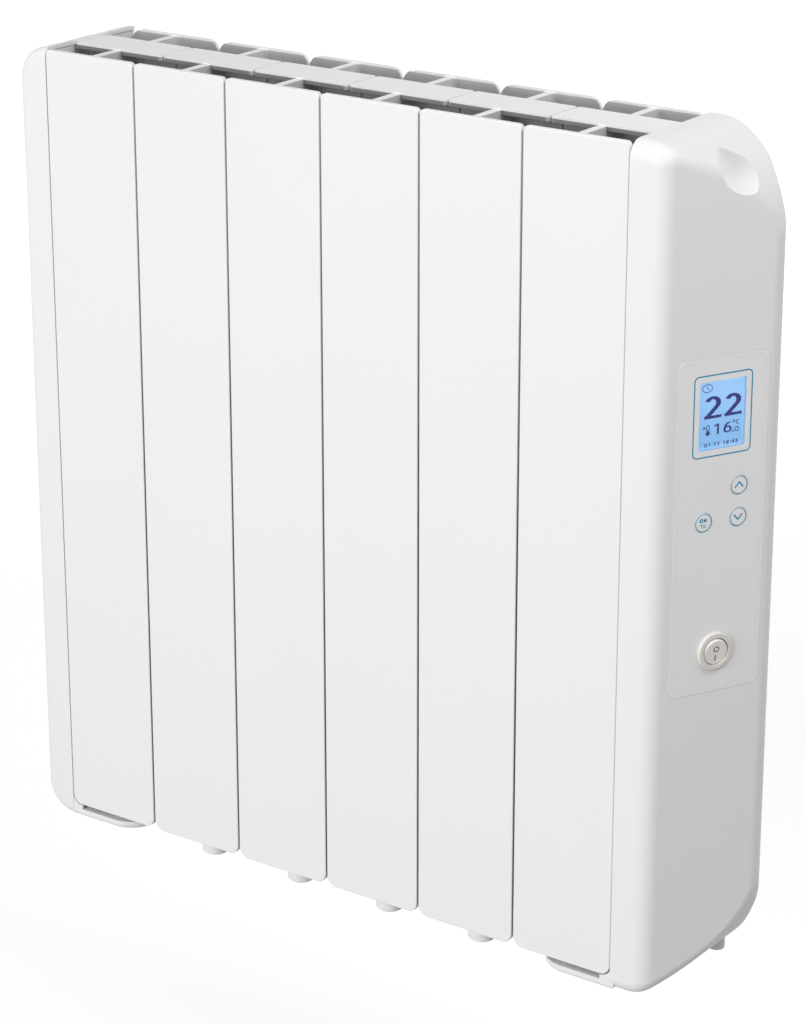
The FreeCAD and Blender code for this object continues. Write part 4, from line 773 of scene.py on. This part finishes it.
def return_sign(depth):
    """An arrow that turns back: a hook with a half circle at its right end, and a barb."""
    line = 0.45 * MM
    hook = mm((-1.8, -1.6), *arc((0.9, -2.4), 0.8, 90, -90, 12), (-1.2, -3.2))
    barb = mm((-1.1, -1.0), (-2.0, -1.6), (-1.1, -2.2))
    return [stroke(hook, line, depth), stroke(barb, line, depth)]


def together(shapes):
    """One array of points and one of faces from several shapes."""
    starts = np.cumsum([0] + [len(points) for points, faces in shapes])
    faces = [own + start for start, (points, own) in zip(starts, shapes)]
    return np.concatenate([points for points, own in shapes]), np.concatenate(faces)


def piece(name, points, faces, material, body):
    """A new object of the radiator that rides on a body."""
    mesh = bpy.data.meshes.new(name)
    mesh.from_pydata(points.tolist(), [], faces.tolist())
    mesh.validate()
    mesh.materials.append(material)
    made = bpy.data.objects.new(name, mesh)
    bpy.context.scene.collection.objects.link(made)
    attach(made, body)


def dress(material, *nodes):
    """Give CAD nodes a material."""
    for node in nodes:
        for slot in frame["nodes"][node].material_slots:
            slot.material = material


# Operators


class RADIATOR_OT_sections(bpy.types.Operator):
    """Enamel the cast sections and finish what joins them"""

    bl_idname = "radiator.sections"
    bl_label = "Finish sections"

    def execute(self, context):
        colours = context.scene.radiator_colours
        sections = [f"section_{number}" for number in range(1, 7)]
        # The sections' enamel carries the painted shade between the plates; the end plates below get none
        paint = enamel("section_enamel", colours.enamel, colours.recess_shade)
        along_rod = (60.0, 900.0, 900.0)
        dress(paint, *sections, "core_plugs")
        dress(pressed_rubber("hub_gasket", RUBBER_BLACK), "section_gaskets", "plug_gaskets")
        dress(brushed("plug_steel", PLUG_STEEL), "section_nipples", "blank_plugs")
        dress(brushed("heater_steel", HEATER_STEEL, gloss=0.34, streak=along_rod), "heating_element")
        dress(brushed("heater_brass", BRASS), "heater_head", "heater_terminals")
        return {"FINISHED"}


class RADIATOR_OT_caps(bpy.types.Operator):
    """Finish the two end caps, their plates and their screws"""

    bl_idname = "radiator.caps"
    bl_label = "Finish caps"

    def execute(self, context):
        colours = context.scene.radiator_colours
        plate = enamel("plate_enamel", colours.enamel, colours.enamel)
        dress(moulded("cap_plastic", colours.cap), "left_end_cap", "right_end_cap")
        dress(plate, "left_end_plate", "right_end_plate")
        dress(brushed("screw_zinc", ZINC), "left_cap_screws", "right_cap_screws")
        dress(moulded("gland_nylon", colours.gland, gloss=0.40, grain=1100.0), "cable_gland", "gland_nut")
        dress(moulded("sensor_black", SENSOR_BLACK, gloss=0.45), "room_sensor")
        return {"FINISHED"}


class RADIATOR_OT_panel(bpy.types.Operator):
    """Finish the film, the display, the keys and the rocker switch"""

    bl_idname = "radiator.panel"
    bl_label = "Finish panel"

    def execute(self, context):
        colours = context.scene.radiator_colours
        film = printed_film("panel_film", colours.film, colours.film_border, colours.film_edge_highlight)
        keys = moulded("key_satin", colours.film, gloss=0.40, grain=2600.0, depth=0.008)
        polish = {"gloss": 0.34, "grain": 1800.0, "depth": 0.01}
        dress(film, "control_overlay")
        dress(keys, "up_key", "down_key", "ok_key")
        dress(clear_lens("display_lens"), "display_window")
        dress(lit_display("display_ground", colours.display), "lcd_glass")
        dress(moulded("switch_plastic", colours.switch, **polish), "switch_housing")
        dress(moulded("rocker_plastic", colours.rocker, **polish), "switch_rocker")
        return {"FINISHED"}


class RADIATOR_OT_inside(bpy.types.Operator):
    """Finish the boards, their parts and the wiring inside the right cap"""

    bl_idname = "radiator.inside"
    bl_label = "Finish inside"

    def execute(self, context):
        black = moulded("part_black", PART_BLACK)
        dress(laminate("board_laminate"), "control_board", "power_board")
        dress(black, "key_switches", "board_transformer", "thermal_cutout")
        dress(moulded("relay_blue", RELAY_BLUE, gloss=0.3), "board_relay")
        dress(moulded("terminal_green", TERMINAL_GREEN, gloss=0.4), "terminal_block")
        dress(moulded("socket_nylon", SOCKET_NYLON, gloss=0.4), "board_sockets", "lcd_backlight")
        dress(brushed("board_brass", BRASS), "board_standoffs", "switch_terminals")
        dress(brushed("board_zinc", ZINC), "board_screws", "control_board_screws")
        dress(pressed_rubber("lead_sleeve", SLEEVE_RED), "heater_leads", "switch_leads")
        dress(moulded("ribbon_grey", RIBBON_GREY), "ribbon_cable")
        return {"FINISHED"}


class RADIATOR_OT_print(bpy.types.Operator):
    """Print the frame round the display and the marks of the keys"""

    bl_idname = "radiator.print"
    bl_label = "Add print"

    def execute(self, context):
        sizes = context.scene.radiator_print
        paint = ink("panel_ink", context.scene.radiator_colours.ink)
        depth = sizes.ink_depth
        outline = rounded_rectangle(sizes.frame_width, sizes.frame_height, sizes.frame_corner)
        points, faces = stroke(outline, sizes.frame_line, depth, closed=True)
        points = laid_on("control_overlay", points, centre=middle("lcd_glass"))
        piece("display_frame_line", points, faces, paint, "radiator")
        ring = stroke(circle((0, 0), sizes.ring_radius, 120), sizes.ring_line, depth, closed=True)
        arrow = mm((-3.2, -1.7), (0, 1.9), (3.2, -1.7))
        word_box = (-3.0, 0.0), (3.0, 3.0)
        marks = {
            "up_key": [stroke(arrow, sizes.mark_line, depth)],
            "down_key": [stroke(arrow * (1, -1), sizes.mark_line, depth)],
            "ok_key": figures("OK", word_box, depth, weight=0.72) + return_sign(depth),
        }
        for key, shapes in marks.items():
            points, faces = together([ring] + shapes)
            piece(key + "_mark", laid_on(key, points), faces, paint, key)
        return {"FINISHED"}


class RADIATOR_OT_display(bpy.types.Operator):
    """Draw the figures and signs of the display"""

    bl_idname = "radiator.display"
    bl_label = "Add figures"

    def execute(self, context):
        sizes = context.scene.radiator_print
        paint = ink("display_figures", context.scene.radiator_colours.figures)
        depth = sizes.ink_depth
        main_box = (-13.1, -2.3), (15.9, 12.5)
        room_box = (-6.0, -13.5), (8.6, -6.3)
        tenth_box = (10.6, -13.75), (13.9, -10.4)
        unit_box = (11.4, -8.8), (14.4, -5.8)
        clock_box = (-12.1, -21.5), (13.6, -18.7)
        point = mm(9.4, -13.1)
        degree = circle(mm(9.9, -6.5), 0.75 * MM, 24)
        shapes = [
            *figures(sizes.main_figure, main_box, depth, weight=1.95, stretch=1.9, gap=0.12),
            *figures(sizes.room_figure, room_box, depth, weight=0.95, stretch=1.65, gap=0.20),
            *figures(sizes.tenth_figure, tenth_box, depth),
            *figures("C", unit_box, depth),
            *figures(sizes.clock_figure, clock_box, depth, gap=0.25),
            disc(point, 0.65 * MM, depth),
            stroke(degree, 0.5 * MM, depth, closed=True),
            *clock_sign(depth),
            *thermometer_sign(depth),
        ]
        points, faces = together(shapes)
        piece("display_signs", laid_on("lcd_glass", points), faces, paint, "radiator")
        return {"FINISHED"}


class RADIATOR_OT_switch_marks(bpy.types.Operator):
    """Mark the two ends of the rocker with a ring and a bar"""

    bl_idname = "radiator.switch_marks"
    bl_label = "Add switch marks"

    def execute(self, context):
        paint = ink("rocker_ink", context.scene.radiator_colours.switch_mark)
        depth = context.scene.radiator_print.ink_depth
        low, high = joint("rocker_tilt")["range_deg"]
        face_tilt = math.radians(high - low) / 2
        outward = math.cos(face_tilt) * OUT - math.sin(face_tilt) * UP
        upward = math.cos(face_tilt) * UP + math.sin(face_tilt) * OUT
        ring = circle(mm(0, 2.6), 1.85 * MM, 60)
        bar = mm((0, -1.7), (0, -6.4))
        marks = [stroke(ring, 0.75 * MM, depth, closed=True), stroke(bar, 0.85 * MM, depth)]
        points, faces = together(marks)
        points = laid_on("switch_rocker", points, np.array((ACROSS, upward, outward)))
        piece("rocker_marks", points, faces, paint, "rocker")
        return {"FINISHED"}


class RADIATOR_OT_stage(bpy.types.Operator):
    """Set the floor, the lamps, the surrounding light and the camera"""

    bl_idname = "radiator.stage"
    bl_label = "Set stage"

    def execute(self, context):
        scene = context.scene
        stage = scene.radiator_stage
        self.lay_floor(scene, stage)
        self.surround(scene, stage)
        wide = (1.8, 1.2)
        small = (0.8, 0.8)
        strip = (1.8, 0.6)
        self.hang_lamp(scene, "key_lamp", stage.key_place, wide, stage.key_power)
        self.hang_lamp(scene, "top_lamp", stage.top_place, small, stage.top_power)
        self.hang_lamp(scene, "back_lamp", stage.back_place, small, stage.back_power)
        self.hang_lamp(scene, "wall_lamp", stage.wall_place, strip, stage.wall_power)
        self.place_camera(scene, stage)
        scene.view_settings.view_transform = "Standard"
        return {"FINISHED"}

    @staticmethod
    def lay_floor(scene, stage):
        """Square floor below the radiator: a grid of equal cells at one height."""
        cells = 8
        row = cells + 1
        half = stage.floor_size / 2
        height = CAD_BOX[0].z - stage.floor_drop
        sides = np.linspace(-half, half, row)
        x, y = np.meshgrid(sides, sides)
        points = np.stack((x, y, np.full_like(x, height)), 2).reshape(-1, 3)
        start = (np.arange(cells)[:, None] * row + np.arange(cells)[None, :]).reshape(-1, 1)
        faces = start + np.array((0, 1, row + 1, row))
        mesh = bpy.data.meshes.new("floor")
        mesh.from_pydata(points.tolist(), [], faces.tolist())
        mesh.materials.append(white_floor("floor_white"))
        floor = bpy.data.objects.new("floor", mesh)
        scene.collection.objects.link(floor)

    @staticmethod
    def surround(scene, stage):
        """Even light from all round, which the camera, mirrors and glass see as white."""
        world = bpy.data.worlds.new("studio")
        world.use_nodes = True
        nodes = Nodes(world.node_tree, "Background")
        nodes.feed("Color", WHITE)
        nodes.feed("Strength", stage.ambient)
        white = nodes.node("ShaderNodeBackground", {}, {"Color": WHITE, "Strength": 1.0})
        nodes.show(nodes.mix_shaders(nodes.seen_rays(), nodes.own_shader(), white))
        scene.world = world

    @staticmethod
    def hang_lamp(scene, name, spot, size, watts):
        """A rectangular soft lamp that faces the middle of the radiator; its size is in metres."""
        lamp = bpy.data.lights.new(name, "AREA")
        lamp.shape = "RECTANGLE"
        lamp.size, lamp.size_y = size
        lamp.energy = watts
        holder = bpy.data.objects.new(name, lamp)
        holder.location = spot
        aim = (CAD_BOX[0] + CAD_BOX[1]) / 2 - holder.location
        holder.rotation_euler = aim.to_track_quat("-Z", "Y").to_euler()
        holder.visible_camera = False
        scene.collection.objects.link(holder)

    @staticmethod
    def place_camera(scene, stage):
        """Camera at the photograph's angle."""
        data = bpy.data.cameras.new("camera")
        data.lens = stage.lens
        data.sensor_width = 36.0
        data.clip_end = 100.0
        camera = bpy.data.objects.new("camera", data)
        camera.location = stage.camera_place
        camera.rotation_euler = Vector(stage.camera_view).to_track_quat("-Z", "Y").to_euler()
        scene.collection.objects.link(camera)
        scene.camera = camera


class RADIATOR_PT_sidebar(bpy.types.Panel):
    """Buttons for each group of pieces, with their settings"""

    bl_idname = "RADIATOR_PT_sidebar"
    bl_label = "Radiator"
    bl_space_type = "VIEW_3D"
    bl_region_type = "UI"
    bl_category = "Radiator"

    def draw(self, context):
        scene = context.scene
        for step in STEPS:
            self.layout.operator(step.bl_idname)
        for settings in (scene.radiator_colours, scene.radiator_print, scene.radiator_stage):
            box = self.layout.box()
            for label in settings.__annotations__:
                box.prop(settings, label)


STEPS = (
    RADIATOR_OT_stage,
    RADIATOR_OT_sections,
    RADIATOR_OT_caps,
    RADIATOR_OT_panel,
    RADIATOR_OT_inside,
    RADIATOR_OT_print,
    RADIATOR_OT_display,
    RADIATOR_OT_switch_marks,
)
SETTINGS = (RadiatorColours, RadiatorPrint, RadiatorStage)


def register():
    """Register the classes and put the settings on the scene."""
    for made in (*SETTINGS, *STEPS, RADIATOR_PT_sidebar):
        bpy.utils.register_class(made)
    bpy.types.Scene.radiator_colours = PointerProperty(type=RadiatorColours)
    bpy.types.Scene.radiator_print = PointerProperty(type=RadiatorPrint)
    bpy.types.Scene.radiator_stage = PointerProperty(type=RadiatorStage)


def unregister():
    """Take the settings and the classes away again."""
    del bpy.types.Scene.radiator_stage
    del bpy.types.Scene.radiator_print
    del bpy.types.Scene.radiator_colours
    for made in (RADIATOR_PT_sidebar, *reversed(STEPS), *reversed(SETTINGS)):
        bpy.utils.unregister_class(made)


def main():
    """Build the scene."""
    register()
    bpy.ops.radiator.stage()
    bpy.ops.radiator.sections()
    bpy.ops.radiator.caps()
    bpy.ops.radiator.panel()
    bpy.ops.radiator.inside()
    bpy.ops.radiator.print()
    bpy.ops.radiator.display()
    bpy.ops.radiator.switch_marks()


if __name__ == "__main__":
    main()
